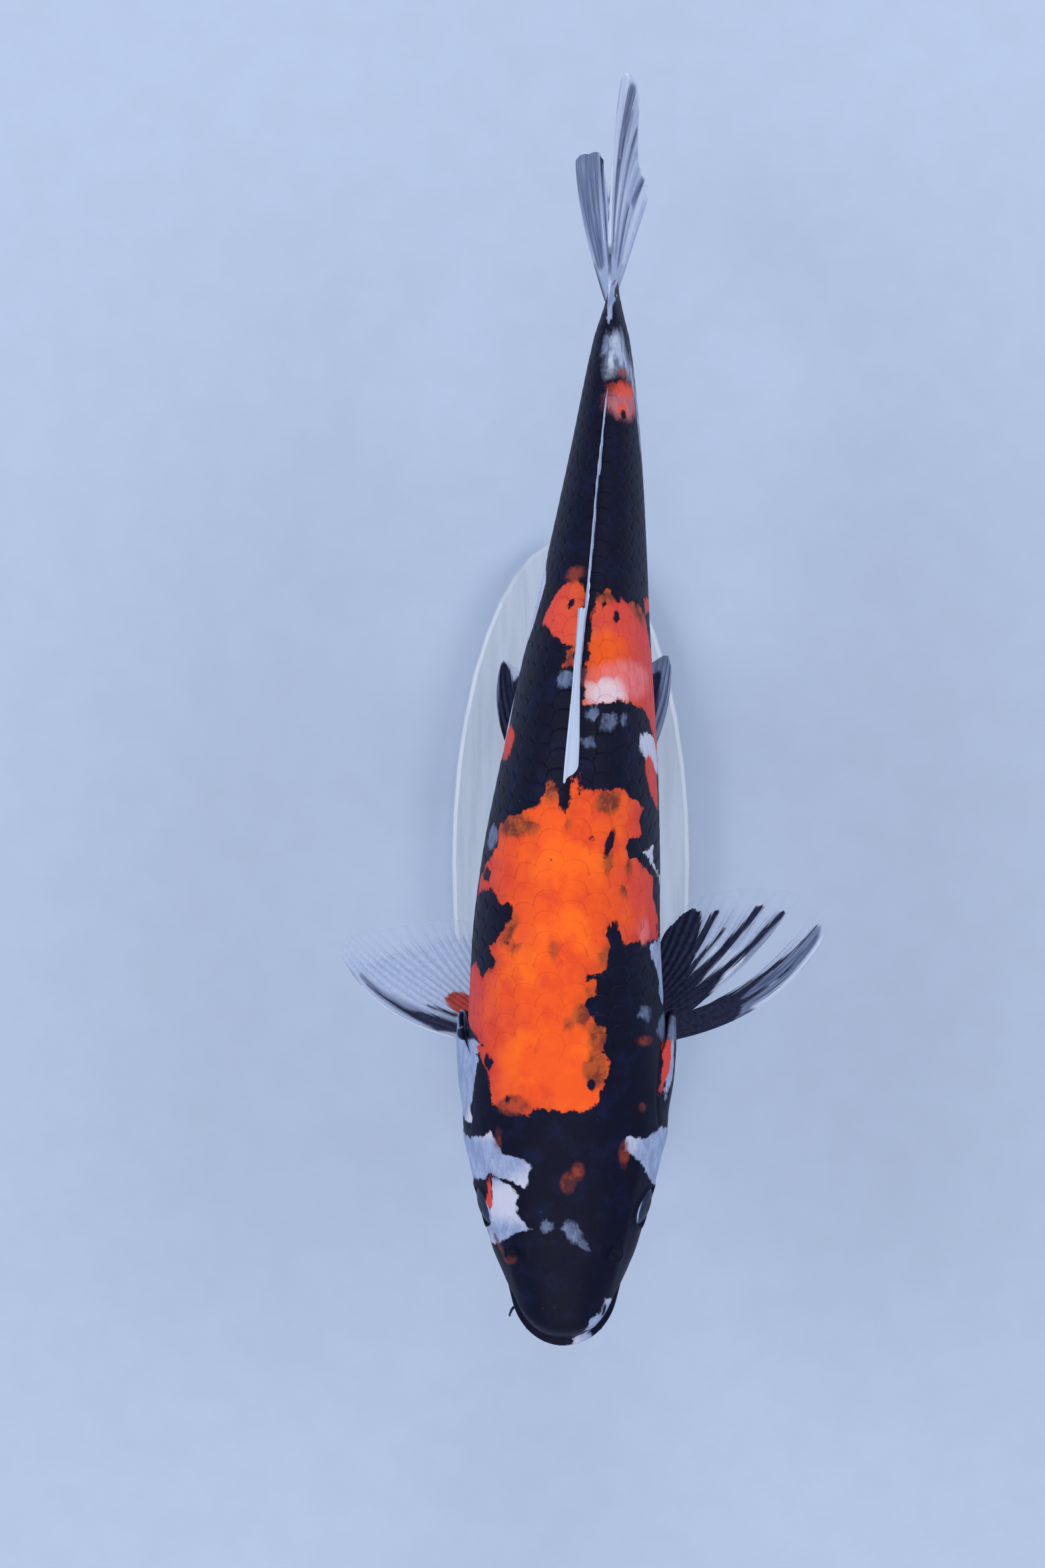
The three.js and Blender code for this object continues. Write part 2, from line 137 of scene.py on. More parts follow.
def section(at, angle):
    """Side and height of the body's outline at a distance, by the angle from the back."""
    sine = np.sin(angle)
    cosine = np.cos(angle)
    above = cosine > 0
    fullness = np.where(above, profile(UPPER_FULLNESS, at), profile(LOWER_FULLNESS, at))
    middle = profile(WIDEST_HEIGHT, at)
    edge = np.where(above, profile(BACK, at), profile(BELLY, at))
    reach = np.abs(edge - middle) * nose_round(at, NOSE_ROUND_SIDE)
    width = profile(HALF_WIDTH, at) * nose_round(at, NOSE_ROUND_PLAN)

    def bulge(part):
        return np.sign(part) * np.abs(part) ** (2 / fullness)

    return width * bulge(sine), middle + reach * bulge(cosine)


def place(points):
    """World places in metres of points given as side, at and height."""
    side, at, height = np.moveaxis(np.asarray(points, float), -1, 0)
    roll = np.radians(profile(ROLL, at))
    x = BASE_SHIFT + profile(MIDLINE, at) + side * np.cos(roll) - height * np.sin(roll)
    z = AXIS_HEIGHT + side * np.sin(roll) + height * np.cos(roll)
    return np.stack([x, at - BASE_AT, z], -1) * MM


class BodyChart:
    """The body's surface by distance behind the snout and share of the way from back to belly."""

    SHARES = np.linspace(0, 1, 161)
    ANGLES = np.linspace(0, math.pi, 361)
    STEP = 0.5

    def __init__(self):
        bend = np.arange(0.004, 1.0, 0.02) * math.pi / 2
        nose = NOSE_ROUND_PLAN * (1 - np.cos(bend))
        body = np.arange(NOSE_ROUND_PLAN + self.STEP, STANDARD_LENGTH + 0.6, self.STEP)
        self.at = np.concatenate([nose, body])
        side, height = section(self.at[:, None], self.ANGLES[None, :])
        step = np.hypot(np.diff(side, axis=1), np.diff(height, axis=1))
        way = np.concatenate([np.zeros((len(self.at), 1)), np.cumsum(step, axis=1)], 1)
        self.half_girth = way[:, -1]
        evenly = self.SHARES[None, :] * way[:, -1:]
        rows = range(len(self.at))
        self.side = np.array([np.interp(evenly[r], way[r], side[r]) for r in rows])
        self.height = np.array([np.interp(evenly[r], way[r], height[r]) for r in rows])

    def girth(self, at):
        """The way from the back to the belly round one side."""
        return np.interp(at, self.at, self.half_girth)

    def point(self, at, share):
        """Side, at and height of places on the surface, share running from -1 to 1 round the body."""
        at, share = np.broadcast_arrays(np.asarray(at, float), np.asarray(share, float))
        r = np.clip(np.searchsorted(self.at, at, side="right") - 1, 0, len(self.at) - 2)
        f = np.clip((at - self.at[r]) / (self.at[r + 1] - self.at[r]), 0, 1)
        down = np.abs(share) * (len(self.SHARES) - 1)
        c = np.clip(down.astype(int), 0, len(self.SHARES) - 2)
        g = down - c

        def blend(table):
            near = table[r, c] * (1 - g) + table[r, c + 1] * g
            far = table[r + 1, c] * (1 - g) + table[r + 1, c + 1] * g
            return near * (1 - f) + far * f

        return np.stack([np.sign(share) * blend(self.side), at, blend(self.height)], -1)

    def outward(self, at, share):
        """Directions straight out of the surface, as side, at and height."""
        small = 0.5
        turn = 0.012
        ahead = self.point(at + small, share) - self.point(np.maximum(at - small, 0), share)
        one_way = self.point(at, (share + turn + 1) % 2 - 1)
        other_way = self.point(at, (share - turn + 1) % 2 - 1)
        return unit(np.cross(one_way - other_way, ahead))

    def share_at(self, at, height):
        """The share round the body at which the upper half of the surface has a height."""
        shares = np.linspace(0, 0.6, 240)
        heights = self.point(at, shares)[:, 2]
        return np.interp(-height, -heights, shares)


CHART = BodyChart()

# ---- Markings on the unrolled skin -------------------------------------------------------------------
# A place is the way round from the back, positive on the fish's left, and the distance behind the snout,
# in millimetres. The large patches, by their corners.
PATCHES = {
    "red": [
        # The saddle behind the head
        [(-44, 113), (-32, 108), (-27, 103), (-29, 99), (-27, 89), (-20, 86), (-12, 85), (-11, 87), (6, 86),
         (12, 89), (16, 103), (13, 107), (15, 113), (7, 125), (12, 127), (12, 132), (8, 132), (9, 135),
         (14, 134), (18, 141), (17, 150), (21, 152), (24, 144), (52, 144), (60, 148), (47, 159), (48, 166),
         (26, 174), (25, 180), (37, 181), (33, 187), (38, 190), (22, 196), (8, 197), (2, 196), (1, 190),
         (-3, 191), (-5, 199), (-9, 198), (-12, 190), (-27, 187), (-33, 184), (-31, 178), (-50, 165),
         (-50, 160), (-33, 163), (-24, 157), (-19, 158), (-17, 153), (-27, 144), (-33, 144), (-25, 137),
         (-35, 131), (-43, 137), (-54, 134), (-62, 124), (-56, 116)],
        # The loin, right and left of the dorsal fin
        [(3, 262), (8, 265), (11, 262), (29, 260), (40, 256), (54, 245), (62, 238), (69, 226), (68, 208),
         (59, 210), (38, 224), (27, 225), (25, 227), (15, 227), (3, 225)],
        [(-22, 255), (-14, 264), (-4, 269), (-1, 264), (-2, 238), (-6, 238), (-4, 245), (-11, 249)],
        # Behind the right gill cover
        [(-38, 108), (-31, 108), (-28, 104), (-30, 101), (-28, 97), (-33, 103)],
    ],
    "rose": [
        [(2, 250), (2, 268), (24, 264), (54, 256), (70, 212), (48, 220), (38, 244), (16, 250)],
    ],
    "white": [
        # Cheeks and brow
        [(22, 77), (29, 76), (43, 79), (59, 77), (72, 74), (80, 66), (68, 58), (50, 57), (37, 59), (27, 69),
         (22, 72)],
        [(-39, 75), (-27, 78), (-22, 71), (-15, 69), (-11, 68), (-13, 59), (-27, 64), (-31, 61), (-64, 60),
         (-74, 68), (-60, 76)],
        [(-26, 62), (-19, 60), (-16, 56), (-17, 53), (-16, 48), (-11, 44), (-17, 43), (-19, 41), (-30, 37),
         (-38, 38), (-30, 48), (-27, 52)],
        # Lips
        [(14, 13), (16, 18), (24, 17), (24, 11), (17, 6), (12, 5), (8, 6), (10, 11)],
        [(1, 0), (6, 2), (10, 4), (18, 3), (24, 5), (26, 0), (8, -2)],
        # Gill covers and shoulders
        [(-70, 119), (-56, 113), (-37, 109), (-33, 107), (-38, 105), (-36, 103), (-39, 93), (-41, 87),
         (-39, 80), (-50, 82), (-64, 90), (-78, 104)],
        [(41, 143), (66, 145), (84, 136), (78, 122), (66, 124), (56, 121), (49, 125), (52, 130), (47, 135)],
        # Flank and loin
        [(37, 175), (50, 177), (46, 174), (52, 169), (65, 166), (65, 163), (53, 167)],
        [(-27, 268), (-33, 254), (-46, 244), (-60, 246), (-52, 266), (-36, 278)],
        # Where the tail fin grows from the stalk
        [(-40, 378), (40, 378), (30, 371), (6, 368), (1, 365), (0, 358), (-1, 358), (-2, 366), (-8, 369),
         (-30, 371)],
    ],
    "cloud": [
        [(2, 355), (7, 355), (10, 349), (26, 342), (26, 336), (21, 334), (17, 340), (4, 342), (0, 340),
         (-1, 347)],
    ],
    # Haze: soft blue grey over the black; the second patch is a painted highlight along the upper lip's rim
    # on the fish's right
    "haze_and_glint": [
        [(-1, 45), (2, 47), (5, 46), (6, 42), (10, 36), (7, 37), (1, 42)],
        [(-31, 9), (-28, 10), (-21, 5), (-13, 1), (-5, 0), (-14, -2), (-23, 2)],
    ],
}
# The small and the soft ones, as ovals: the middle, half the size across and along, and where one lies
# askew, the degrees by which its width turns towards the tail.
SPOTS = {
    "red": [
        (47, 101, 2, 10, -24), (-28.5, 55, 1.5, 7, -11), (-41, 213, 9, 6), (50, 199, 13, 6, -35),
        (45, 261, 7, 2.5), (2.5, 195, 1.5, 6),
    ],
    "blush": [(11, 335, 8, 2.5), (9, 328, 2.5, 2.5)],
    "pink": [(11, 330, 10, 5), (24, 234, 19, 6), (38, 148, 4, 3.5)],
    "rose": [(-12, 255, 11, 17)],
    "dim": [
        (5, 65, 2, 3), (1.5, 61, 2.5, 3.5), (21.5, 71, 2, 4.5), (-23.5, 76, 1, 3), (29.5, 87, 1.5, 1.5),
        (33, 110, 4, 1.5), (-26, 38, 1, 4, 34), (-20.5, 32.5, 2.5, 1), (-18, 88, 6, 3.5),
        (9, 341, 5, 1.5), (-6, 270, 4, 3),
    ],
    "white": [(50, 100, 2.5, 10, -21), (-55, 218, 10, 12), (49, 209, 17, 6, -15)],
    "cloud": [(28, 329, 3.5, 16, 27)],
    "fade": [(12, 229, 10, 5.5)],
    # Haze: partly greyed skin, partly painted highlight: the spots from 213 to 222 behind the snout are
    # painted wet glints on the black ahead of the loin
    "haze_and_glint": [
        (-6, 45, 2, 2), (6.5, 222, 2.5, 2.5), (14, 221, 3.5, 2), (20.5, 220.5, 1.5, 1.5),
        (12.5, 217, 1.5, 1), (6, 213, 3, 2), (-5, 234, 3, 3), (34, 119, 4, 2.5), (56, 113, 12, 5),
        (-39, 180, 7, 4), (-1, 350, 1, 3.5),
    ],
    "shade": [
        (11, 101, 4.5, 7), (12, 113, 3.5, 5.5), (7, 120, 3, 5), (2, 117, 2, 2.5), (10, 128, 2.5, 2),
        (15.5, 140, 2, 4, -30), (-2.5, 142, 1.5, 3), (-21, 184, 12, 4), (-6, 196, 2.5, 4),
        (16, 192, 6, 4.5), (17, 172, 2.5, 5), (27, 170, 2.5, 3), (24.5, 162, 2, 2.5), (1.5, 184, 1, 2.5),
        (-19, 148, 2.5, 6, -41), (-17, 143, 3, 2), (-4, 241, 2, 5), (29, 258, 11, 3, -22),
        (7, 263, 5, 3),
    ],
    "ink": [
        (17, 178, 2, 5, -24), (10, 179.5, 1.5, 1), (-20, 90, 1, 1.5), (9.5, 95.5, 1.5, 2),
        (-20.5, 144, 1, 1), (7, 260, 1.5, 1.5), (13, 256, 2, 2), (-5.5, 260, 1.5, 2), (9, 326, 1.5, 2),
        (-39, 167, 4.5, 2.5), (-47, 173, 10, 2.5), (-30, 103, 1.5, 2.5), (-50, 111, 9, 2),
        (-1, 195, 2, 5.5), (16, 14, 1, 2.5), (20, 6, 7, 1, 26),
    ],
    # Grey: white greyed by black showing through; the spot at (-56, 100) on the gill cover on the fish's
    # right and the one at (66, 134) on the left shoulder's edge are painted shade
    "grey": [
        (-42, 68, 32, 9), (0, 367, 8, 15), (54, 69, 32, 14), (50, 100, 6, 12), (-56, 100, 22, 20),
        (66, 134, 26, 15), (15, 9, 14, 8), (-23, 42, 15, 5),
    ],
}
# Below this way round, the belly is pale, with a wavering edge.
BELLY_EDGE = [(0, 44), (24, 62), (60, 88), (110, 100), (160, 98), (200, 94), (250, 82), (300, 60),
              (340, 44), (370, 37)]
# The waves of that edge: height and length in millimetres, and how far the two sides are out of step.
BELLY_WAVES = [(9, 23, 2.2), (5, 9.3, 1), (2.5, 3.9, -1)]
# The depth that stands for any place well outside a marking.
OUTSIDE = -9.0
# How far the markings draw back under the jaw.
JAW_CLEARANCE = 14


def inside_by(outline, across, along):
    """How far places lie inside a closed outline, negative outside and never under OUTSIDE."""
    corners = np.array(outline, float)
    result = np.full(across.shape, OUTSIDE)
    low = corners.min(0) + OUTSIDE
    high = corners.max(0) - OUTSIDE
    near = (across > low[0]) & (across < high[0]) & (along > low[1]) & (along < high[1])
    x = across[near]
    y = along[near]
    best = np.full(x.shape, OUTSIDE**2)
    within = np.zeros(x.shape, bool)
    for (x0, y0), (x1, y1) in zip(corners, np.roll(corners, -1, axis=0)):
        dx = x1 - x0
        dy = y1 - y0
        t = np.clip(((x - x0) * dx + (y - y0) * dy) / (dx * dx + dy * dy), 0, 1)
        best = np.minimum(best, (x - x0 - t * dx) ** 2 + (y - y0 - t * dy) ** 2)
        crosses = (y0 > y) != (y1 > y)
        if dy:
            within ^= crosses & (x < x0 + (y - y0) * dx / dy)
    distance = np.sqrt(best)
    result[near] = np.where(within, distance, -distance)
    return result


def inside_oval(across, along, middle_across, middle_along, half_across, half_along, turn=0):
    """How far places lie inside an oval, negative outside and never under OUTSIDE."""
    x = across - middle_across
    y = along - middle_along
    angle = np.radians(turn)
    reach = np.hypot(
        (x * np.cos(angle) + y * np.sin(angle)) / half_across,
        (y * np.cos(angle) - x * np.sin(angle)) / half_along,
    )
    return np.maximum((1 - reach) * min(half_across, half_along), OUTSIDE)


def deepest(kind, across, along):
    """How far places lie inside the nearest patch or spot of one kind."""
    result = np.full(across.shape, OUTSIDE)
    for outline in PATCHES.get(kind, ()):
        result = np.maximum(result, inside_by(outline, across, along))
    for spot in SPOTS.get(kind, ()):
        result = np.maximum(result, inside_oval(across, along, *spot))
    return result


def markings(across, along):
    """Each marking's depth in mm at places on the skin, for the materials to read."""
    across = np.asarray(across, float)
    along = np.asarray(along, float)
    share = np.abs(across) / CHART.girth(along)
    # Under the jaw the markings of the two sides end before they meet
    under_jaw = JAW_CLEARANCE * smooth(0.66, 0.9, share) * smooth(34, 26, along)
    depths = {kind: deepest(kind, across, along) - under_jaw for kind in {**PATCHES, **SPOTS}}
    own = np.sign(across)
    waver = sum(high * np.sin(along / long + lag * own) for high, long, lag in BELLY_WAVES)
    waver = waver * smooth(1.0, 0.86, share)
    belly = np.clip(np.abs(across) - profile(BELLY_EDGE, along) - waver, OUTSIDE, -OUTSIDE)
    depths["white"] = np.maximum(depths["white"], belly)
    depths["flank"] = share
    return depths


# ---- Settings that a user may change -----------------------------------------------------------------
def length(name, text, value):
    """A setting that is a length, in metres."""
    return bpy.props.FloatProperty(name=name, description=text, default=value, unit="LENGTH", precision=5)


def colour(name, text, value):
    """A setting that is a colour."""
    return bpy.props.FloatVectorProperty(
        name=name, description=text, default=value, subtype="COLOR", size=3, min=0, max=1
    )


class KoiSizes(bpy.types.PropertyGroup):
    scale_lift: length("Scale lift", "Height of a scale's free edge over the skin", 0.12 * MM)
    scale_thickness: length("Scale thickness", "Thickness of a scale", 0.05 * MM)
    scale_pitch: length("Scale pitch", "Distance between scales along a row at the shoulder", 7 * MM)
    scale_rows: bpy.props.IntProperty(
        name="Scale rows", description="Rows of scales round the body", default=30, min=12, max=48
    )
    ray_radius: length("Ray radius", "Radius of a fin ray at its root", 0.45 * MM)
    membrane: length("Membrane", "Thickness of the fin membrane at the root", 0.8 * MM)


class KoiColours(bpy.types.PropertyGroup):
    black: colour("Black", "Black skin, with a trace of navy", (0.002, 0.0025, 0.015))
    orange: colour("Orange", "The red markings along the back", (0.86, 0.095, 0.014))
    # Red, the flanks' colour, is partly the skin's own and partly painted shade where the flanks turn from
    # the light
    red: colour("Red", "The red markings on the flanks", (0.62, 0.055, 0.045))
    white: colour("White", "White skin", (0.54, 0.54, 0.68))
    # Blue grey also paints the shade on the right gill cover and the left shoulder's edge, and the painted
    # glints on the black
    grey: colour("Blue grey", "White skin with black showing through", (0.19, 0.25, 0.44))
    membrane: colour("Membrane", "Fin membrane and rays", (0.4, 0.49, 0.72))
    base: colour("Base lacquer", "The display base", (0.46, 0.53, 0.65))


class KoiStage(bpy.types.PropertyGroup):
    floor: colour("Floor", "The floor under the stand", (0.42, 0.5, 0.66))
    light_power: bpy.props.FloatProperty(
        name="Light power", description="Power of each of the soft lights", default=11, unit="POWER"
    )
    room: bpy.props.FloatProperty(
        name="Room light", description="Strength of the light from all round", default=0.5, min=0, max=2
    )


# ---- Materials ---------------------------------------------------------------------------------------
# Tones that are mixed with the user's own colours.
SKIN_TONES = {
    "navy": (0.005, 0.009, 0.045),
    "white_fine": (0.42, 0.46, 0.64),
    "white_drift": (0.34, 0.42, 0.64),
    "grey_light": (0.3, 0.38, 0.6),
    "cloud_dark": (0.2, 0.26, 0.44),
    "cloud_light": (0.44, 0.5, 0.66),
    "orange_bright": (0.97, 0.145, 0.013),
    "red_cloudy": (0.66, 0.045, 0.022),
    "red_fine": (0.42, 0.03, 0.014),
    "red_edge": (0.3, 0.025, 0.02),
    "rose": (0.62, 0.055, 0.06),
    "stain_dark": (0.085, 0.025, 0.022),
    "stain_light": (0.34, 0.075, 0.02),
    "pink_deep": (0.74, 0.18, 0.22),
    "pink_pale": (0.82, 0.26, 0.28),
    "fade_deep": (0.74, 0.45, 0.5),
    "fade_pale": (0.76, 0.66, 0.72),
    "blush": (0.74, 0.085, 0.04),
    "dim_light": (0.32, 0.05, 0.028),
    "dim_dark": (0.1, 0.022, 0.022),
    "scale_rim": (0.5, 0.05, 0.012),
    "scale_tone": (0.5, 0.04, 0.02),
}
FIN_TONES = {
    "membrane_pale": (0.5, 0.58, 0.8),
    "smoke_dark": (0.07, 0.1, 0.21),
    "smoke_light": (0.22, 0.28, 0.46),
    "milk": (0.58, 0.66, 0.85),
    "ink_dark": (0.006, 0.008, 0.03),
    "ink_light": (0.016, 0.022, 0.065),
    "flush_bright": (0.46, 0.05, 0.035),
    "flush_dark": (0.28, 0.035, 0.03),
}
EYE_TONES = {
    "iris_dark": (0.006, 0.01, 0.035),
    "iris_light": (0.02, 0.034, 0.085),
    "gold": (0.22, 0.16, 0.1),
    "rim": (0.05, 0.08, 0.18),
    "border": (0.3, 0.42, 0.62),
    "pupil": (0.002, 0.002, 0.005),
}
# Where each ring of the eye begins or ends, in millimetres from its middle.
EYE_RINGS = {
    "pupil_end": (2.85, 3.0),
    "gold_start": (2.95, 3.1),
    "gold_end": (3.25, 3.6),
    "rim_start": (5.2, 6.4),
    "border_start": (6.55, 6.75),
    "border_end": (7.05, 7.2),
}
# How deep the grain of each finish is.
GRAIN_RELIEF = 0.05 * MM
FIN_RELIEF = 0.03 * MM
# The colour sockets of a Mix node share their names with the other kinds', so they are given by number.
MIX_FACTOR = 0
MIX_FIRST = 6
MIX_SECOND = 7
MIX_RESULT = 2


class Paint:
    """A socket of a material, on which arithmetic adds Math nodes."""

    def __init__(self, mixer, socket):
        self.mixer = mixer
        self.socket = socket

    def calc(self, operation, *values):
        """One Math node on values and sockets."""
        return self.mixer.node("ShaderNodeMath", {"operation": operation}, dict(enumerate(values)))

    def __add__(self, other):
        return self.calc("ADD", self, other)

    def __radd__(self, other):
        return self.calc("ADD", other, self)

    def __sub__(self, other):
        return self.calc("SUBTRACT", self, other)

    def __rsub__(self, other):
        return self.calc("SUBTRACT", other, self)

    def __mul__(self, other):
        return self.calc("MULTIPLY", self, other)

    def __rmul__(self, other):
        return self.calc("MULTIPLY", other, self)

    def most(self, other):
        return self.calc("MAXIMUM", self, other)

    def least(self, other):
        return self.calc("MINIMUM", self, other)

    def wave(self):
        return self.calc("SINE", self)

    def step(self, low, high):
        """An eased step from 0 at low to 1 at high."""
        return self.mixer.node(
            "ShaderNodeMapRange",
            {"interpolation_type": "SMOOTHSTEP"},
            {"Value": self, "From Min": low, "From Max": high},
        )


class Mixer:
    """Builds one material's nodes around a Principled shader."""

    def __init__(self, name, **constants):
        self.material = bpy.data.materials.new(name)
        self.material.use_nodes = True
        self.tree = self.material.node_tree
        self.shader = self.tree.nodes["Principled BSDF"]
        for socket, value in constants.items():
            self.shader.inputs[socket.replace("_", " ")].default_value = value

    def node(self, kind, settings=None, sockets=None, out=0):
        """Adds a node, sets it up, gives its sockets values or links, and returns one output."""
        node = self.tree.nodes.new(kind)
        for name, value in (settings or {}).items():
            setattr(node, name, value)
        for name, value in (sockets or {}).items():
            self.feed(node.inputs[name], value)
        return Paint(self, node.outputs[out])

    def feed(self, socket, value):
        """Links a socket to paint, or sets its value."""
        if isinstance(value, Paint):
            self.tree.links.new(value.socket, socket)
        elif socket.type == "RGBA" and len(value) == 3:
            socket.default_value = (*value, 1)
        else:
            socket.default_value = value

    def attribute(self, name):
        return self.node("ShaderNodeAttribute", {"attribute_name": name}, out="Fac")

    def place(self):
        return self.node("ShaderNodeTexCoord", out="Object")

    def uv(self):
        return self.node("ShaderNodeTexCoord", out="UV")

    def stretched(self, vector, scale):
        return self.node("ShaderNodeMapping", None, {"Vector": vector, "Scale": scale})

    def noise(self, vector, scale, detail, rough=0.5):
        sockets = {"Vector": vector, "Scale": scale, "Detail": detail, "Roughness": rough}
        return self.node("ShaderNodeTexNoise", None, sockets)

    def cells(self, vector, scale):
        return self.node("ShaderNodeTexVoronoi", None, {"Vector": vector, "Scale": scale})

    def mix(self, factor, first, second):
        sockets = {MIX_FACTOR: factor, MIX_FIRST: first, MIX_SECOND: second}
        return self.node("ShaderNodeMix", {"data_type": "RGBA"}, sockets, out=MIX_RESULT)

    def bump(self, height, distance, strength):
        sockets = {"Height": height, "Distance": distance, "Strength": strength}
        return self.node("ShaderNodeBump", None, sockets)

    def finish(self, **links):
        """Feeds what changes over the surface to the shader and returns the material."""
        for name, value in links.items():
            self.feed(self.shader.inputs[name.replace("_", " ")], value)
        return self.material


def skin_material(name, colours, scaled):
    """Black, red and white koi skin with ragged markings."""
    m = Mixer(name, Specular_IOR_Level=0.1)
    tone = SKIN_TONES
    plain_black = tuple(colours.black)
    plain_grey = tuple(colours.grey)
    here = m.place()
    drift = m.noise(here, 55, 3.0, 0.55)
    fine = m.noise(here, 900, 3.0, 0.6)
    middling = m.noise(here, 230, 4.0, 0.62)
    mottled = middling.step(0.42, 0.6)
    teeth = m.noise(m.stretched(here, (1.0, 0.45, 1.0)), 700, 3.0, 0.6)
    ragged = (middling - 0.5) * 4.4 + (teeth - 0.5) * 2.6

    def depth(kind, low, high, roughly=1.0):
        """A marking's mask: 0 at a low depth inside it, 1 at a high one, with a ragged edge."""
        return (m.attribute(kind) + ragged * roughly).step(low, high)

    # Black, clouded with navy and finely speckled with blue grey
    black = m.mix(m.noise(here, 130, 4.0, 0.6).step(0.45, 0.75) * 0.6, plain_black, tone["navy"])
    specks = m.cells(here, 260.0)
    speck_mask = (1 - specks.step(0.04, 0.1)) * drift.step(0.5, 0.62)
    black = m.mix(speck_mask * 0.25, black, plain_grey)

    # White, turned blue grey in places: partly black showing through, partly painted shade on the gill cover
    # on the fish's right and along the edge of its left shoulder
    white = m.mix(fine.step(0.35, 0.75) * 0.35, tuple(colours.white), tone["white_fine"])
    white = m.mix(drift.step(0.42, 0.66) * 0.5, white, tone["white_drift"])
    veined = m.noise(m.stretched(here, (2.0, 0.6, 1.0)), 260, 3.0, 0.7).step(0.38, 0.68)
    greyed = m.mix(veined, plain_grey, tone["grey_light"])
    white = m.mix(depth("grey", -2.4, 2.4) * 0.85, white, greyed)
    feathery = m.noise(m.stretched(here, (1.6, 0.5, 1.0)), 240, 3.0, 0.6).step(0.3, 0.65)
    paint = m.mix(depth("white", -0.5, 0.5, 0.8), black, white)
    cloud = depth("cloud", -3.0, 2.2) * (0.5 + feathery * 0.5)
    paint = m.mix(cloud, paint, m.mix(feathery, tone["cloud_dark"], tone["cloud_light"]))
    # Haze: soft blue grey, partly greyed skin and partly painted highlight, the wet glints ahead of the loin
    # and along the lip's rim
    paint = m.mix(depth("haze_and_glint", -0.9, 0.9) * (0.3 + feathery * 0.3), paint, greyed)

    # Red: bright orange along the back, clouded with red, darker and pinker down the flanks; the change down
    # the flanks is partly the skin's own colour and partly painted shade where they turn from the light
    side_share = (m.attribute("flank") + (drift - 0.5) * 0.3).step(0.06, 0.34)
    red = m.mix(side_share, tuple(colours.orange), tuple(colours.red))
    bright = m.noise(here, 60, 3.0, 0.55).step(0.44, 0.66) * (1 - side_share)
    red = m.mix(bright * 0.85, red, tone["orange_bright"])
    cloudy = m.noise(here, 85, 4.0, 0.6).step(0.48, 0.68)
    red = m.mix(cloudy * 0.6, red, tone["red_cloudy"])
    red = m.mix(middling.step(0.52, 0.74) * 0.1, red, tone["red_fine"])
    near_edge = 1 - m.attribute("red").step(0.0, 5.0)
    red = m.mix(near_edge * drift.step(0.38, 0.62) * 0.32, red, tone["red_edge"])
    red = m.mix(depth("rose", -3.0, 3.0) * 0.6, red, tone["rose"])
    stain = m.mix(mottled, tone["stain_dark"], tone["stain_light"])
    red = m.mix(depth("shade", -1.0, 1.4, 0.7) * 0.85, red, stain)
    red_edge = depth("red", -0.45, 0.45)
    paint = m.mix(red_edge, paint, red)
    pink = m.mix(feathery, tone["pink_deep"], tone["pink_pale"])
    paint = m.mix(depth("pink", -2.2, 1.6, 0.6) * 0.6, paint, pink)
    faded = m.mix(fine, tone["fade_deep"], tone["fade_pale"])
    paint = m.mix(depth("fade", -1.6, 2.6, 0.5) * red_edge, paint, faded)
    paint = m.mix(depth("blush", -1.6, 1.4, 0.5) * 0.9, paint, tone["blush"])
    dull = m.mix(mottled, tone["dim_light"], tone["dim_dark"])
    paint = m.mix(depth("dim", -0.9, 0.9, 0.6) * 0.7, paint, dull)

    # Black dots in the red
    dots = m.cells(here, 150.0)
    dot_mask = (1 - dots.step(0.05, 0.09)) * m.noise(here, 40, 2.0).step(0.55, 0.6)
    paint = m.mix(depth("ink", -0.4, 0.4, 0.4).most(dot_mask * red_edge * 0.6), paint, black)

    height = fine * 0.5 + m.noise(here, 2600, 2.0) * 0.5
    if scaled:
        paint = m.mix(m.attribute("rim") * red_edge * 0.03, paint, tone["scale_rim"])
        own_tone = m.attribute("chance").step(-1.0, 1.0)
        paint = m.mix(own_tone * red_edge * 0.03, paint, tone["scale_tone"])
        paint = m.mix(m.attribute("canal").step(0.4, 0.8) * 0.3, paint, plain_black)
        height = height + (m.attribute("growth") * 60).wave() * 0.05
    rough = 0.46 + fine * 0.14
    return m.finish(Base_Color=paint, Roughness=rough, Normal=m.bump(height, GRAIN_RELIEF, 0.5))


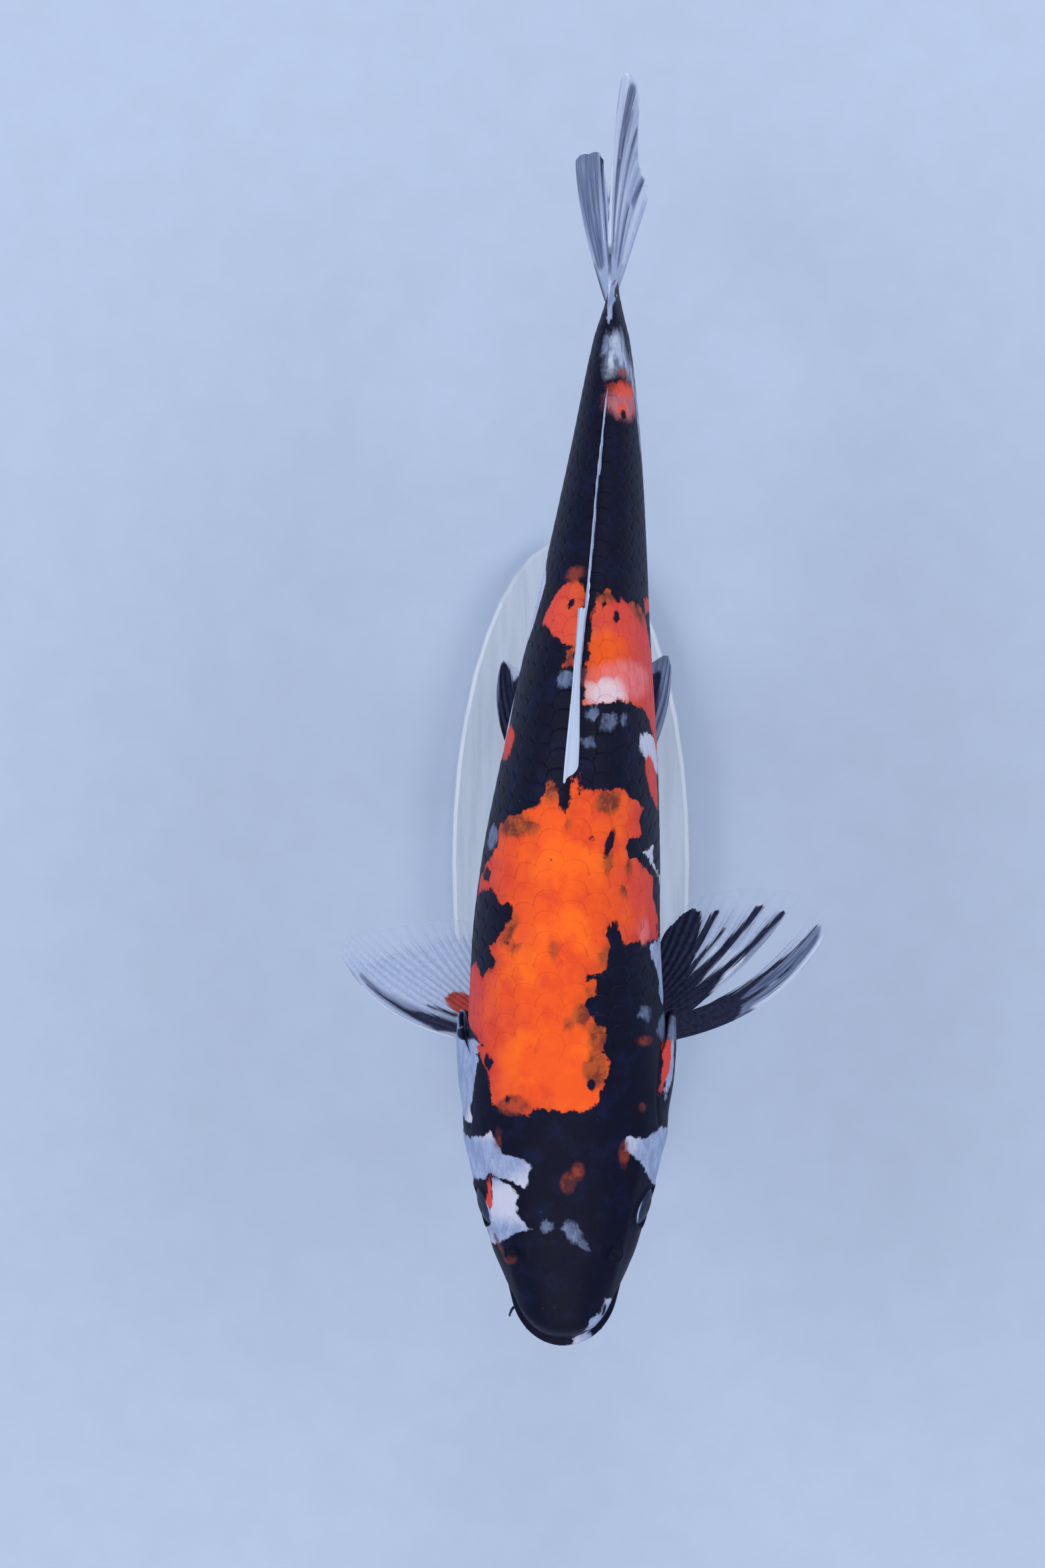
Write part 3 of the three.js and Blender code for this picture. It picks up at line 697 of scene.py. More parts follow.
def fin_material(name, colours, ribbed):
    """Fin membrane, or fin rays where ribbed: clear, milky, smoky or black by the fin's own marks."""
    m = Mixer(name, Roughness=0.45, Specular_IOR_Level=0.15)
    tone = FIN_TONES
    streaky = m.noise(m.stretched(m.uv(), (80.0, 4.0, 1.0)), 1.0, 3.0, 0.6)
    ragged = (streaky - 0.5) * 3.4
    fine = m.noise(m.place(), 700, 3.0, 0.6)
    mottled = fine.step(0.3, 0.7)

    def depth(kind, low, high):
        """A streak's mask, with a ragged edge."""
        return (m.attribute(kind) + ragged).step(low, high)

    ink = depth("ink", -0.4, 0.5)
    smoke = depth("smoke", -1.4, 1.4)
    milk = depth("milk", -0.9, 0.9)
    flush = depth("flush", -0.5, 0.5)
    smoky = m.mix(streaky.step(0.35, 0.65), tone["smoke_dark"], tone["smoke_light"])
    paint = m.mix(mottled, tuple(colours.membrane), tone["membrane_pale"])
    paint = m.mix(smoke, paint, smoky)
    paint = m.mix(milk, paint, tone["milk"])
    paint = m.mix(ink, paint, m.mix(mottled, tone["ink_dark"], tone["ink_light"]))
    paint = m.mix(flush, paint, m.mix(mottled, tone["flush_bright"], tone["flush_dark"]))
    solid = m.attribute("veil")
    if ribbed:
        solid = solid * 1.25
        ridges = (m.attribute("along") * 330).wave()
    else:
        ridges = (m.attribute("across") * 700).wave() * 0.5 + fine
    solid = solid.most(smoke * 0.75).most(milk * 0.88).most(ink * 0.97).most(flush * 0.95).least(1.0)
    return m.finish(Base_Color=paint, Alpha=solid, Normal=m.bump(ridges, FIN_RELIEF, 0.5))


def eye_material(name):
    """A dark wet eye: black pupil with a thin dull ring, slate iris and a pale blue border."""
    m = Mixer(name, Coat_Weight=0.1, Coat_Roughness=0.06, Specular_IOR_Level=0.08)
    tone = EYE_TONES
    here = m.place()
    flecks = m.noise(here, 1600, 3.0, 0.7)
    out = m.attribute("ring") + (m.noise(here, 500, 2.0) - 0.5) * 0.4

    def past(ring):
        """0 inside a ring's line, 1 outside it."""
        return out.step(*EYE_RINGS[ring])

    iris = m.mix(flecks.step(0.35, 0.7), tone["iris_dark"], tone["iris_light"])
    gold = past("gold_start") * (1 - past("gold_end"))
    iris = m.mix(gold * 0.2, iris, tone["gold"])
    iris = m.mix(past("rim_start") * 0.25, iris, tone["rim"])
    border = past("border_start") * (1 - past("border_end")) * m.attribute("upward")
    iris = m.mix(border, iris, tone["border"])
    paint = m.mix(1 - past("pupil_end"), iris, tone["pupil"])
    return m.finish(Base_Color=paint, Roughness=0.4 + flecks * 0.15)


def plain_material(name, first, second, scale, stretch=(1, 1, 1), **constants):
    """Two tones blended by a noise, with a matching fine relief."""
    m = Mixer(name, **constants)
    grain = m.noise(m.stretched(m.place(), stretch), scale, 4.0, 0.6)
    paint = m.mix(grain.step(0.3, 0.7), first, second)
    rough = constants.get("Roughness", 0.5) - 0.05 + grain * 0.1
    return m.finish(Base_Color=paint, Roughness=rough, Normal=m.bump(grain, GRAIN_RELIEF, 0.4))


# ---- Making pieces -----------------------------------------------------------------------------------
def new_object(name, vertices, faces, edges=()):
    """A new mesh piece in the scene."""
    mesh = bpy.data.meshes.new(name)
    mesh.from_pydata(np.asarray(vertices, float).tolist(), list(edges), list(faces))
    mesh.update()
    piece = bpy.data.objects.new(name, mesh)
    bpy.context.scene.collection.objects.link(piece)
    return piece


def store(piece, name, values, kind="FLOAT"):
    """Keeps one value for each vertex under a name that materials can read."""
    attribute = piece.data.attributes.new(name, kind, "POINT")
    field = {"FLOAT": "value", "FLOAT_VECTOR": "vector", "QUATERNION": "value"}[kind]
    attribute.data.foreach_set(field, np.asarray(values, np.float32).ravel())


def read(piece, name):
    """The stored values of every vertex."""
    values = np.empty(len(piece.data.vertices), np.float32)
    piece.data.attributes[name].data.foreach_get("value", values)
    return values


def corners_of(piece):
    """The vertex that each face corner stands on."""
    indices = np.empty(len(piece.data.loops), np.int32)
    piece.data.loops.foreach_get("vertex_index", indices)
    return indices


def give_uv(piece, name, uv):
    """A UV map from one pair of values for each vertex."""
    layer = piece.data.uv_layers.new(name=name)
    layer.data.foreach_set("uv", np.asarray(uv, np.float32)[corners_of(piece)].ravel())


def steps_round(loop):
    """Each member of a closed loop with the next one."""
    loop = list(loop)
    return zip(loop, loop[1:] + loop[:1])


def ring_faces(start, rows, around):
    """Faces between rows of points that each close on themselves."""
    faces = []
    for a in range(start, start + (rows - 1) * around, around):
        b = a + around
        for i, j in steps_round(range(around)):
            faces.append((a + i, a + j, b + j, b + i))
    return faces


def grid_faces(rows, columns):
    """Faces of an open sheet of points."""
    faces = []
    for r in range(rows - 1):
        for a in range(r * columns, r * columns + columns - 1):
            faces.append((a, a + 1, a + columns + 1, a + columns))
    return faces


def grid_rim(rows, columns):
    """The points round an open sheet's edge, in order."""
    rim = list(range(columns))
    rim += [r * columns + columns - 1 for r in range(1, rows)]
    rim += [(rows - 1) * columns + c for c in range(columns - 2, -1, -1)]
    rim += [r * columns for r in range(rows - 2, 0, -1)]
    return rim


def dress(piece, material, nodes=()):
    """Shades a piece, fixes it to the body and hides the CAD nodes it stands for."""
    piece.data.materials.clear()
    piece.data.materials.append(material)
    piece.data.shade_smooth()
    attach(piece, BODY)
    if nodes:
        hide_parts(*nodes)
    return piece


def plain_copy(piece, name):
    """The evaluated piece as a plain mesh, with the piece and its modifiers gone."""
    graph = bpy.context.evaluated_depsgraph_get()
    mesh = bpy.data.meshes.new_from_object(piece.evaluated_get(graph), depsgraph=graph)
    mesh.name = name
    old = piece.data
    bpy.data.objects.remove(piece)
    bpy.data.meshes.remove(old)
    result = bpy.data.objects.new(name, mesh)
    bpy.context.scene.collection.objects.link(result)
    return result


class Tree:
    """A Geometry Nodes tree with named inputs, ending in Realize Instances and Set Material."""

    def __init__(self, name, material):
        self.group = bpy.data.node_groups.new(name, "GeometryNodeTree")
        self.group.interface.new_socket("Geometry", in_out="INPUT", socket_type="NodeSocketGeometry")
        self.group.interface.new_socket("Geometry", in_out="OUTPUT", socket_type="NodeSocketGeometry")
        self.entry = self.group.nodes.new("NodeGroupInput")
        self.exit = self.group.nodes.new("NodeGroupOutput")
        self.material = material
        self.values = {}

    def value(self, name, kind, given):
        """Adds a named input and returns its socket inside the tree."""
        item = self.group.interface.new_socket(name, in_out="INPUT", socket_type="NodeSocket" + kind)
        self.values[item.identifier] = given
        return next(out for out in self.entry.outputs if out.identifier == item.identifier)

    def node(self, kind, settings=None, sockets=None, out=0):
        """Adds a node, sets it up, gives its sockets values or links, and returns one output."""
        node = self.group.nodes.new(kind)
        for name, value in (settings or {}).items():
            setattr(node, name, value)
        for name, value in (sockets or {}).items():
            if isinstance(value, bpy.types.NodeSocket):
                self.group.links.new(value, node.inputs[name])
            else:
                node.inputs[name].default_value = value
        return node.outputs[out]

    def calc(self, operation, *values):
        """One Math node on values and sockets."""
        return self.node("ShaderNodeMath", {"operation": operation}, dict(enumerate(values)))

    def named(self, name, kind="FLOAT"):
        """What the points keep under a name."""
        return self.node("GeometryNodeInputNamedAttribute", {"data_type": kind}, {"Name": name})

    def apply(self, piece, geometry, name):
        """Ends the tree, runs it on the piece and returns the plain result."""
        real = self.node("GeometryNodeRealizeInstances", None, {"Geometry": geometry})
        painted = self.node("GeometryNodeSetMaterial", None, {"Geometry": real, "Material": self.material})
        self.group.links.new(painted, self.exit.inputs[0])
        modifier = piece.modifiers.new(self.group.name, "NODES")
        modifier.node_group = self.group
        for identifier, given in self.values.items():
            modifier[identifier] = given
        return plain_copy(piece, name)


# ---- The skin ----------------------------------------------------------------------------------------
# Rows of points lie closest where the gill cover folds, and the head has three times the trunk's points.
HEAD_END = 136
FOLD_FROM = 94
HEAD_STEP = 0.62
FOLD_STEP = 0.45
TRUNK_STEP = 1.7
HEAD_PER_TRUNK = 3
HEAD_AROUND = 252
TRUNK_AROUND = HEAD_AROUND // HEAD_PER_TRUNK
# Over the cover's rounded lip, forward along the lobe's inner face, then back along the body: how far
# past the edge a row would lie, where it goes, and its share of the cover's swell.
FOLD_PATH = [(0, 0, 0.86), (0.5, 0.25, 0.72), (1, -0.1, 0.5), (2.2, -1.8, 0.32), (4.2, -5, 0.14),
             (6, -8.5, 0.02), (16, 16, 0)]


def mouth_line(at):
    """Height of the line where the lips meet."""
    slope = (MOUTH["corner_height"] - MOUTH["front_height"]) / MOUTH["corner_at"]
    return MOUTH["front_height"] + at * slope


def gill_fold(at, share):
    """Turns skin rows in under the gill cover's free edge: where they go, and how far they stand out."""
    height = CHART.point(at, share)[..., 2]
    drop = height - COVER["height"]
    radius = COVER["radius"]
    edge = COVER["at"] + np.sqrt(np.clip(radius**2 - drop**2, 0, None))
    past = at - edge
    fade = smooth(0, 7, radius - np.abs(drop))
    steps, moved, shares_out = np.array(FOLD_PATH, float).T
    folded = edge + np.interp(past, steps, moved)
    share_out = np.interp(past, steps, shares_out)
    near = (past > 0) & (past < steps[-1])
    target = np.where(near, at + (folded - at) * fade, at)
    from_centre = np.hypot(at - COVER["at"], drop)
    rearward = np.clip((at - COVER["at"]) / np.maximum(from_centre, 1), 0, 1)
    edge_fade = rearward + (1 - rearward) * smooth(0, 10, radius - from_centre)
    swell = profile(COVER_SWELL, np.minimum(at, edge)) * fade * edge_fade
    rounding = 1 - 0.14 * smooth(-2.8, 0, past)
    return target, swell * np.where(past > 0, share_out, rounding)


def head_relief(points, down):
    """How far the head's features stand out from the plain body, by side, at and height."""
    side, at, height = np.moveaxis(points, -1, 0)
    lift = np.zeros(at.shape)
    # Eyes: a socket the ball sits in, with a soft rim
    to_eye = np.hypot(at - EYE["at"], (height - EYE["height"]) * 1.06)
    by_side = (np.abs(side) > 12) & (height > -8)
    socket = 1 - smooth(EYE["radius"] - 0.45, EYE["radius"] + 0.2, to_eye)
    rim = 0.6 * bump(to_eye - EYE["radius"] - 0.8, 0.9)
    lift += by_side * (0.4 * bump(to_eye, 13) + rim - 3.2 * socket)
    # Lips: a thick upper lip standing out from the snout over a shorter lower one
    over = height - mouth_line(at)
    front = 1 - smooth(17, 24, at)
    lift += front * (0.35 * bump(over - 2.6, 2.2) + 0.6 * bump(over + 2.8, 1.9))
    lift -= front * 1.9 * smooth(4.6, 6.6, over) * (1 - smooth(9, 19, over))
    lift -= front * (1.5 * bump(over, 0.62) + 0.5 * bump(over + 6, 0.9))
    corner = np.hypot(at - MOUTH["corner_at"] - 1.5, height - MOUTH["corner_height"])
    lift -= 0.8 * bump(corner, 2.4)
    lift += 0.5 * bump(np.hypot(at - 27, height + 9), 4)
    # Nostrils: a hollow with a thin curved flap standing across it, and a small pit in front
    across = np.abs(down) - NOSTRIL["round"]
    behind = at - NOSTRIL["at"]
    from_hollow = np.hypot(across, behind)
    turned = np.arctan2(behind, across)
    on_flap = np.clip(np.cos(turned + 0.5), 0, 1) ** 0.5
    lift -= 1.4 * bump(from_hollow, 2.3)
    lift += 1.25 * bump(from_hollow - NOSTRIL["flap"], 0.5) * on_flap
    lift -= 0.8 * bump(np.hypot(across + 1.2, behind + 4.4), 1.0)
    lift += 0.25 * bump(from_hollow - NOSTRIL["rim"], 1.3)
    # Cheek: the edge of the plate in front of the gill cover, and the cheek's lower line
    above_cheek = height - CHEEK["height"]
    cheek = np.hypot(at - CHEEK["at"], above_cheek * 0.9)
    cheek_range = smooth(CHEEK["at"], CHEEK["at"] + 6, at) * smooth(30, 24, np.abs(above_cheek))
    lift -= 0.45 * bump(cheek - CHEEK["radius"], 0.9) * cheek_range
    lift += 0.35 * bump(cheek - (CHEEK["radius"] - 3), 2.2) * cheek_range
    below_eye = height - EYE["height"] + 11 + (at - EYE["at"]) * 0.05
    lift -= 0.35 * bump(below_eye, 0.9) * smooth(34, 40, at) * smooth(76, 68, at) * (np.abs(side) > 12)
    # A soft edge from the nostril past the eye, where the crown turns down to the cheek
    lift += 0.45 * bump(np.abs(down) - 0.2 * at - 14, 2.6) * smooth(16, 26, at) * smooth(90, 70, at)
    # Gill cover: a groove along its upper and lower edges and faint growth lines
    drop = height - COVER["height"]
    round_cover = np.hypot(at - COVER["at"], drop)
    on_rim = smooth(74, 82, at) * smooth(120, 112, at) * smooth(8, 16, np.abs(drop))
    lift -= 0.6 * bump(round_cover - COVER["radius"] - 0.8, 1.0) * on_rim
    on_cover = smooth(COVER["radius"], COVER["radius"] - 5, round_cover) * smooth(82, 92, at)
    lift += 0.05 * np.sin(round_cover * 2.2) * on_cover
    # Throat: the gill covers' lower edges meet along a shallow keel
    lift -= 0.8 * bump(side, 1.6) * smooth(34, 46, at) * smooth(104, 90, at) * (height < -18)
    # Skull: a faint hollow between the eyes and a soft ridge behind it
    lift -= 0.5 * bump(np.hypot(side / 1.4, at - 36), 9) * (height > 5)
    lift += 0.35 * bump(side, 4) * smooth(70, 96, at) * (height > 10)
    return lift


def trunk_relief(points, down, at):
    """The swellings at the fins' roots, and the vent."""
    side, _, height = np.moveaxis(points, -1, 0)
    # Under the dorsal fin
    lift = 0.8 * bump(down, 3.4) * smooth(182, 196, at) * smooth(328, 312, at)
    shoulder = np.hypot((at - SHOULDER["at"]) / 1.6, height - SHOULDER["height"])
    lift += 1.5 * bump(shoulder, 5) * (np.abs(side) > 12)
    hip = np.hypot((at - HIP["at"]) / 1.8, np.abs(side) - HIP["side"])
    lift += 0.9 * bump(hip, 4) * (height < -25)
    # Over the anal fin
    lift += 0.9 * bump(side, 3) * smooth(278, 288, at) * smooth(318, 306, at) * (height < -10)
    vent = np.hypot((at - VENT_AT) / 1.6, side)
    lift += (0.9 * bump(vent, 2.4) - 1.4 * bump(vent, 1.1)) * (height < -15)
    return lift


def scales_begin(down):
    """How far behind the snout the scales begin, by the way round from the back."""
    return np.interp(np.abs(down), *np.array(SCALES_START, float).T)


def emergence(down, at):
    """How far the scales have come out of the skin: 0 on the head, 1 on the body."""
    begin = scales_begin(down)
    return smooth(begin - 4, begin + 20, at)


def tail_end(points):
    """Narrows the end of the body to a thin edge, bowed backwards, that the tail fin grows from."""
    side, at, height = np.moveaxis(points, -1, 0)
    share = smooth(TAIL_EDGE["from"], STANDARD_LENGTH, at)
    bow = TAIL_EDGE["bow"] * share * np.clip(1 - (height / TAIL_EDGE["half_height"]) ** 2, 0, 1)
    return np.stack([side * (1 - TAIL_EDGE["narrowing"] * share), at + bow, height], -1)


def shaped_rows(places, around, sizes):
    """Skin points for rows at the given distances, with their way round and distance for markings."""
    share = np.arange(around) * 2 / around
    share = np.where(share <= 1, share, share - 2)
    at, share = np.broadcast_arrays(places[:, None], share[None, :])
    target, swell = gill_fold(at, share)
    points = CHART.point(target, share)
    down = share * CHART.girth(target)
    lift = head_relief(points, down) + trunk_relief(points, down, target) + swell
    lift -= emergence(down, target) * sizes.scale_lift / MM
    shaped = points + CHART.outward(target, share) * lift[..., None]
    return tail_end(shaped), down, target


def build_skin(sizes):
    """One closed skin from the nose to the tail fin, finer over the head."""
    bend = np.arange(0.3, NOSE_ROUND_PLAN * math.pi / 2, HEAD_STEP) / NOSE_ROUND_PLAN
    nose = NOSE_ROUND_PLAN * (1 - np.cos(bend))
    head_at = np.concatenate([
        nose,
        np.arange(nose[-1] + HEAD_STEP, FOLD_FROM, HEAD_STEP),
        np.arange(FOLD_FROM, HEAD_END, FOLD_STEP),
    ])
    trunk_at = np.arange(HEAD_END + TRUNK_STEP / 2, STANDARD_LENGTH, TRUNK_STEP)
    trunk_at = np.append(trunk_at, STANDARD_LENGTH)
    head, head_down, head_along = shaped_rows(head_at, HEAD_AROUND, sizes)
    trunk, trunk_down, trunk_along = shaped_rows(trunk_at, TRUNK_AROUND, sizes)
    start = len(head_at) * HEAD_AROUND
    last = start - HEAD_AROUND
    faces = ring_faces(0, len(head_at), HEAD_AROUND)
    for k, following in steps_round(range(TRUNK_AROUND)):
        first = HEAD_PER_TRUNK * k
        fine = [last + (first + step) % HEAD_AROUND for step in range(HEAD_PER_TRUNK + 1)]
        faces.append((*fine, start + following, start + k))
    faces += ring_faces(start, len(trunk_at), TRUNK_AROUND)
    count = start + len(trunk_at) * TRUNK_AROUND
    tip = head[0].mean(0) - np.array([0, 0.02, 0])
    tail = trunk[-1].mean(0) + np.array([0, 1.5, 0])
    faces += [(count, j, i) for i, j in steps_round(range(HEAD_AROUND))]
    faces += [(i, j, count + 1) for i, j in steps_round(range(count - TRUNK_AROUND, count))]
    points = np.concatenate([head.reshape(-1, 3), trunk.reshape(-1, 3), tip[None], tail[None]])
    down = np.concatenate([head_down.ravel(), trunk_down.ravel(), [0, 0]])
    along = np.concatenate([head_along.ravel(), trunk_along.ravel(), [0, STANDARD_LENGTH]])
    skin = new_object("skin", place(points), faces)
    for name, values in markings(down, along).items():
        store(skin, name, values)
    return skin


FLESH = ("head", "upper_lip", "lower_jaw", "trunk_front", "trunk_rear", "tail_stalk",
         "gill_cover_left", "gill_cover_right")


class KOI_OT_skin(bpy.types.Operator):
    """Builds the one skin over the head and body"""

    bl_idname = "koi.skin"
    bl_label = "Skin"

    def execute(self, context):
        skin = build_skin(context.scene.koi_sizes)
        material = skin_material("koi_skin", context.scene.koi_colours, False)
        dress(skin, material, FLESH)
        return {"FINISHED"}


# ---- The scales --------------------------------------------------------------------------------------
# One scale's points, and its width and length as shares of a row's width and of the step to the next.
PLATE_ACROSS = 7
PLATE_ALONG = (0.0, 0.36, 0.62, 0.8, 0.92, 1.0)
PLATE_WIDTH = 1.42
PLATE_LENGTH = 1.95
# How unevenly the scales rise, and how much a scale's middle rises over its sides, as shares of the lift.
UNEVENNESS = 0.12
CROWN = 0.12
SCALE_SEED = 7
# Where the front coat ends and the rear one begins.
COAT_SPLIT = 190
# The part of a marking's edge that keeps to whole scales, so that it steps from one to the next.
WHOLE_SCALE_SHARE = 0.15
# The bake map: the body's length and girth that fill it, and the size of one scale on it.
BAKE_LENGTH = 400
BAKE_GIRTH = 300
BAKE_SCALE = 0.003


def scale_plate():
    """One thin scale lying along +Y with its root at 0, a rounded free edge and a closed underside."""
    leaf = []
    for v in PLATE_ALONG:
        for u in np.linspace(-1, 1, PLATE_ACROSS):
            rear = 1 - 0.2 * abs(u) ** 2.4
            front = 0.12 * u * u
            narrow = 1 - 0.22 * smooth(0.55, 1.0, v) * abs(u)
            leaf.append((u * narrow, front + (rear - front) * v, v))
    leaf = np.array(leaf)
    faces = grid_faces(len(PLATE_ALONG), PLATE_ACROSS)
    rim = grid_rim(len(PLATE_ALONG), PLATE_ACROSS)
    top = len(leaf)
    under = {vertex: top + k for k, vertex in enumerate(rim)}
    for a, b in steps_round(rim):
        faces.append((b, a, under[a], under[b]))
    faces.append(tuple(under[vertex] for vertex in reversed(rim)))
    leaf = np.vstack([leaf, leaf[rim]])
    flat = np.stack([leaf[:, 0] * 0.5, leaf[:, 1], np.zeros(len(leaf))], 1)
    plate = new_object("scale_plate", flat, faces)
    is_under = np.arange(len(leaf)) >= top
    store(plate, "leaf_across", leaf[:, 0])
    store(plate, "leaf_along", leaf[:, 1])
    store(plate, "under", is_under)
    store(plate, "rim", smooth(0.86, 1.0, leaf[:, 2]))
    return plate


def scale_places(sizes):
    """Root, share round the body, step and row width of every scale, band by band and row by row."""
    pitch = sizes.scale_pitch / MM
    shoulder = CHART.girth(150.0)
    ends = [start for start, _ in SCALE_BANDS[1:]] + [SCALES_END]
    found = []
    for (start, part), end in zip(SCALE_BANDS, ends):
        rows = 2 * round(sizes.scale_rows * part / 2)
        for row in range(rows):
            share = (row + 0.5) * 2 / rows - 1
            at = float(start)
            halves = 0
            while at < end:
                girth = CHART.girth(at)
                step = pitch * (0.45 + 0.55 * girth / shoulder) * (0.8 + 0.2 * (1 - abs(share)))
                if halves % 2 == row % 2 and at + step * 0.4 > scales_begin(share * girth):
                    found.append((at, share, step, 2 * girth / rows))
                at += step / 2
                halves += 1
    return np.array(found)


def lying(at, share):
    """Places on the plain body with the directions across, along and out of it, in world metres."""
    small = 0.6
    here = place(CHART.point(at, share))
    along = unit(place(CHART.point(at + small, share)) - place(CHART.point(at - small, share)))
    out = place(CHART.point(at, share) + CHART.outward(at, share)) - here
    out = unit(out - along * (out * along).sum(-1, keepdims=True))
    return here, np.cross(along, out), along, out


def scale_tree(skin, plate, sizes, material):
    """Lays plates on the seeds and drapes each over the skin, rising towards its free edge."""
    tree = Tree("Scales", material)
    skin_in = tree.value("Skin", "Object", skin)
    plate_in = tree.value("Plate", "Object", plate)
    lift = tree.value("Lift", "Float", sizes.scale_lift)
    thickness = tree.value("Thickness", "Float", sizes.scale_thickness)
    uneven = tree.value("Unevenness", "Float", UNEVENNESS)
    crowning = tree.value("Crown", "Float", CROWN)
    rooting = tree.named("rooting")
    seed = tree.value("Seed", "Int", SCALE_SEED)
    shape = tree.node("GeometryNodeObjectInfo", None, {"Object": plate_in}, "Geometry")
    body = tree.node("GeometryNodeObjectInfo", None, {"Object": skin_in}, "Geometry")
    placed = tree.node(
        "GeometryNodeInstanceOnPoints",
        None,
        {
            "Points": tree.entry.outputs[0],
            "Instance": shape,
            "Rotation": tree.named("turn", "QUATERNION"),
            "Scale": tree.named("spread", "FLOAT_VECTOR"),
        },
    )
    chance = tree.node(
        "FunctionNodeRandomValue", {"data_type": "FLOAT"}, {"Min": -1.0, "Max": 1.0, "Seed": seed}, 1
    )
    chanced = tree.node(
        "GeometryNodeStoreNamedAttribute",
        {"data_type": "FLOAT", "domain": "INSTANCE"},
        {"Geometry": placed, "Name": "chance", "Value": chance},
    )
    real = tree.node("GeometryNodeRealizeInstances", None, {"Geometry": chanced})
    nearest = tree.node("GeometryNodeProximity", {"target_element": "FACES"}, {0: body}, "Position")
    outward = tree.node(
        "GeometryNodeSampleNearestSurface",
        {"data_type": "FLOAT_VECTOR"},
        {"Mesh": body, "Value": tree.node("GeometryNodeInputNormal")},
    )

    # From below the skin at the root to the full lift at the free edge, higher along the middle
    calc = tree.calc
    rise = calc("MULTIPLY", tree.named("leaf_along"), calc("ADD", 1.0, rooting))
    rise = calc("SUBTRACT", rise, rooting)
    rise = calc("MULTIPLY", rise, calc("ADD", 1.0, calc("MULTIPLY", tree.named("chance"), uneven)))
    curved = calc("SUBTRACT", 1.0, calc("POWER", calc("ABSOLUTE", tree.named("leaf_across")), 2.0))
    rise = calc("ADD", rise, calc("MULTIPLY", curved, crowning))
    rise = calc("MULTIPLY", rise, calc("MULTIPLY", lift, tree.named("emerged")))
    total = calc("SUBTRACT", rise, calc("MULTIPLY", tree.named("under"), thickness))
    offset = tree.node("ShaderNodeVectorMath", {"operation": "SCALE"}, {0: outward, "Scale": total})
    goal = tree.node("ShaderNodeVectorMath", {"operation": "ADD"}, {0: nearest, 1: offset})
    return tree, tree.node("GeometryNodeSetPosition", None, {"Geometry": real, "Position": goal})


def build_scales(context):
    """Makes the front and the rear coat of scales."""
    sizes = context.scene.koi_sizes
    material = skin_material("koi_scale", context.scene.koi_colours, True)
    skin = bpy.data.objects["skin"]
    plate = scale_plate()
    places = scale_places(sizes)
    in_front = places[:, 0] < COAT_SPLIT
    for name, keep in (("scales_front", in_front), ("scales_rear", ~in_front)):
        at, share, step, width = places[keep].T
        here, wide, along, out = lying(at, share)
        turns = [Matrix(np.stack(axes, 1).tolist()).to_quaternion() for axes in zip(wide, along, out)]
        seeds = new_object(name + "_roots", here, ())
        store(seeds, "turn", [tuple(q) for q in turns], "QUATERNION")
        spread = np.stack([width * PLATE_WIDTH, step * PLATE_LENGTH, np.ones(len(at))], 1) * MM
        store(seeds, "spread", spread, "FLOAT_VECTOR")
        store(seeds, "root_at", at)
        store(seeds, "root_share", share)
        store(seeds, "wide", width * PLATE_WIDTH)
        store(seeds, "long", step * PLATE_LENGTH)
        out_of_skin = emergence(share * CHART.girth(at), at + step)
        store(seeds, "emerged", 0.6 + 0.4 * out_of_skin)
        store(seeds, "rooting", 0.14 + 1.1 * (1 - out_of_skin))
        tree, laid = scale_tree(skin, plate, sizes, material)
        finish_scales(tree.apply(seeds, laid, name), material)
    bpy.data.objects.remove(plate)


def finish_scales(coat, material):
    """Gives the laid scales their markings, growth lines, pores and bake map."""
    root_at = read(coat, "root_at")
    root_share = read(coat, "root_share")
    wide = read(coat, "wide")
    lengthwise = read(coat, "long")
    leaf_across = read(coat, "leaf_across")
    leaf_along = read(coat, "leaf_along")
    along = root_at + leaf_along * lengthwise
    root_down = root_share * CHART.girth(root_at)
    down = root_down + leaf_across * wide / 2
    middle_along = root_at + 0.72 * lengthwise
    keep = WHOLE_SCALE_SHARE
    marks = markings(down * (1 - keep) + root_down * keep, along * (1 - keep) + middle_along * keep)
    for name, values in marks.items():
        store(coat, name, values)
    # The pores of one row of scales, halfway down each side
    on_line = np.abs(np.abs(root_share) - 0.5) < 0.035
    tube = bump(leaf_across, 0.16) * bump(leaf_along - 0.74, 0.12)
    store(coat, "canal", on_line * tube)
    store(coat, "growth", np.hypot(leaf_across, leaf_along - 0.45))
    u = root_at / BAKE_LENGTH + leaf_along * BAKE_SCALE * 0.7
    v = 0.5 + root_down / BAKE_GIRTH + leaf_across * BAKE_SCALE * 0.45
    give_uv(coat, "OFBake", np.stack([u, v], 1))
    dress(coat, material)


class KOI_OT_scales(bpy.types.Operator):
    """Lays overlapping scales over the body behind the head"""

    bl_idname = "koi.scales"
    bl_label = "Scales"

    def execute(self, context):
        build_scales(context)
        return {"FINISHED"}


# ---- The eyes ----------------------------------------------------------------------------------------
EYE_AROUND = 56
EYE_ROWS = 38


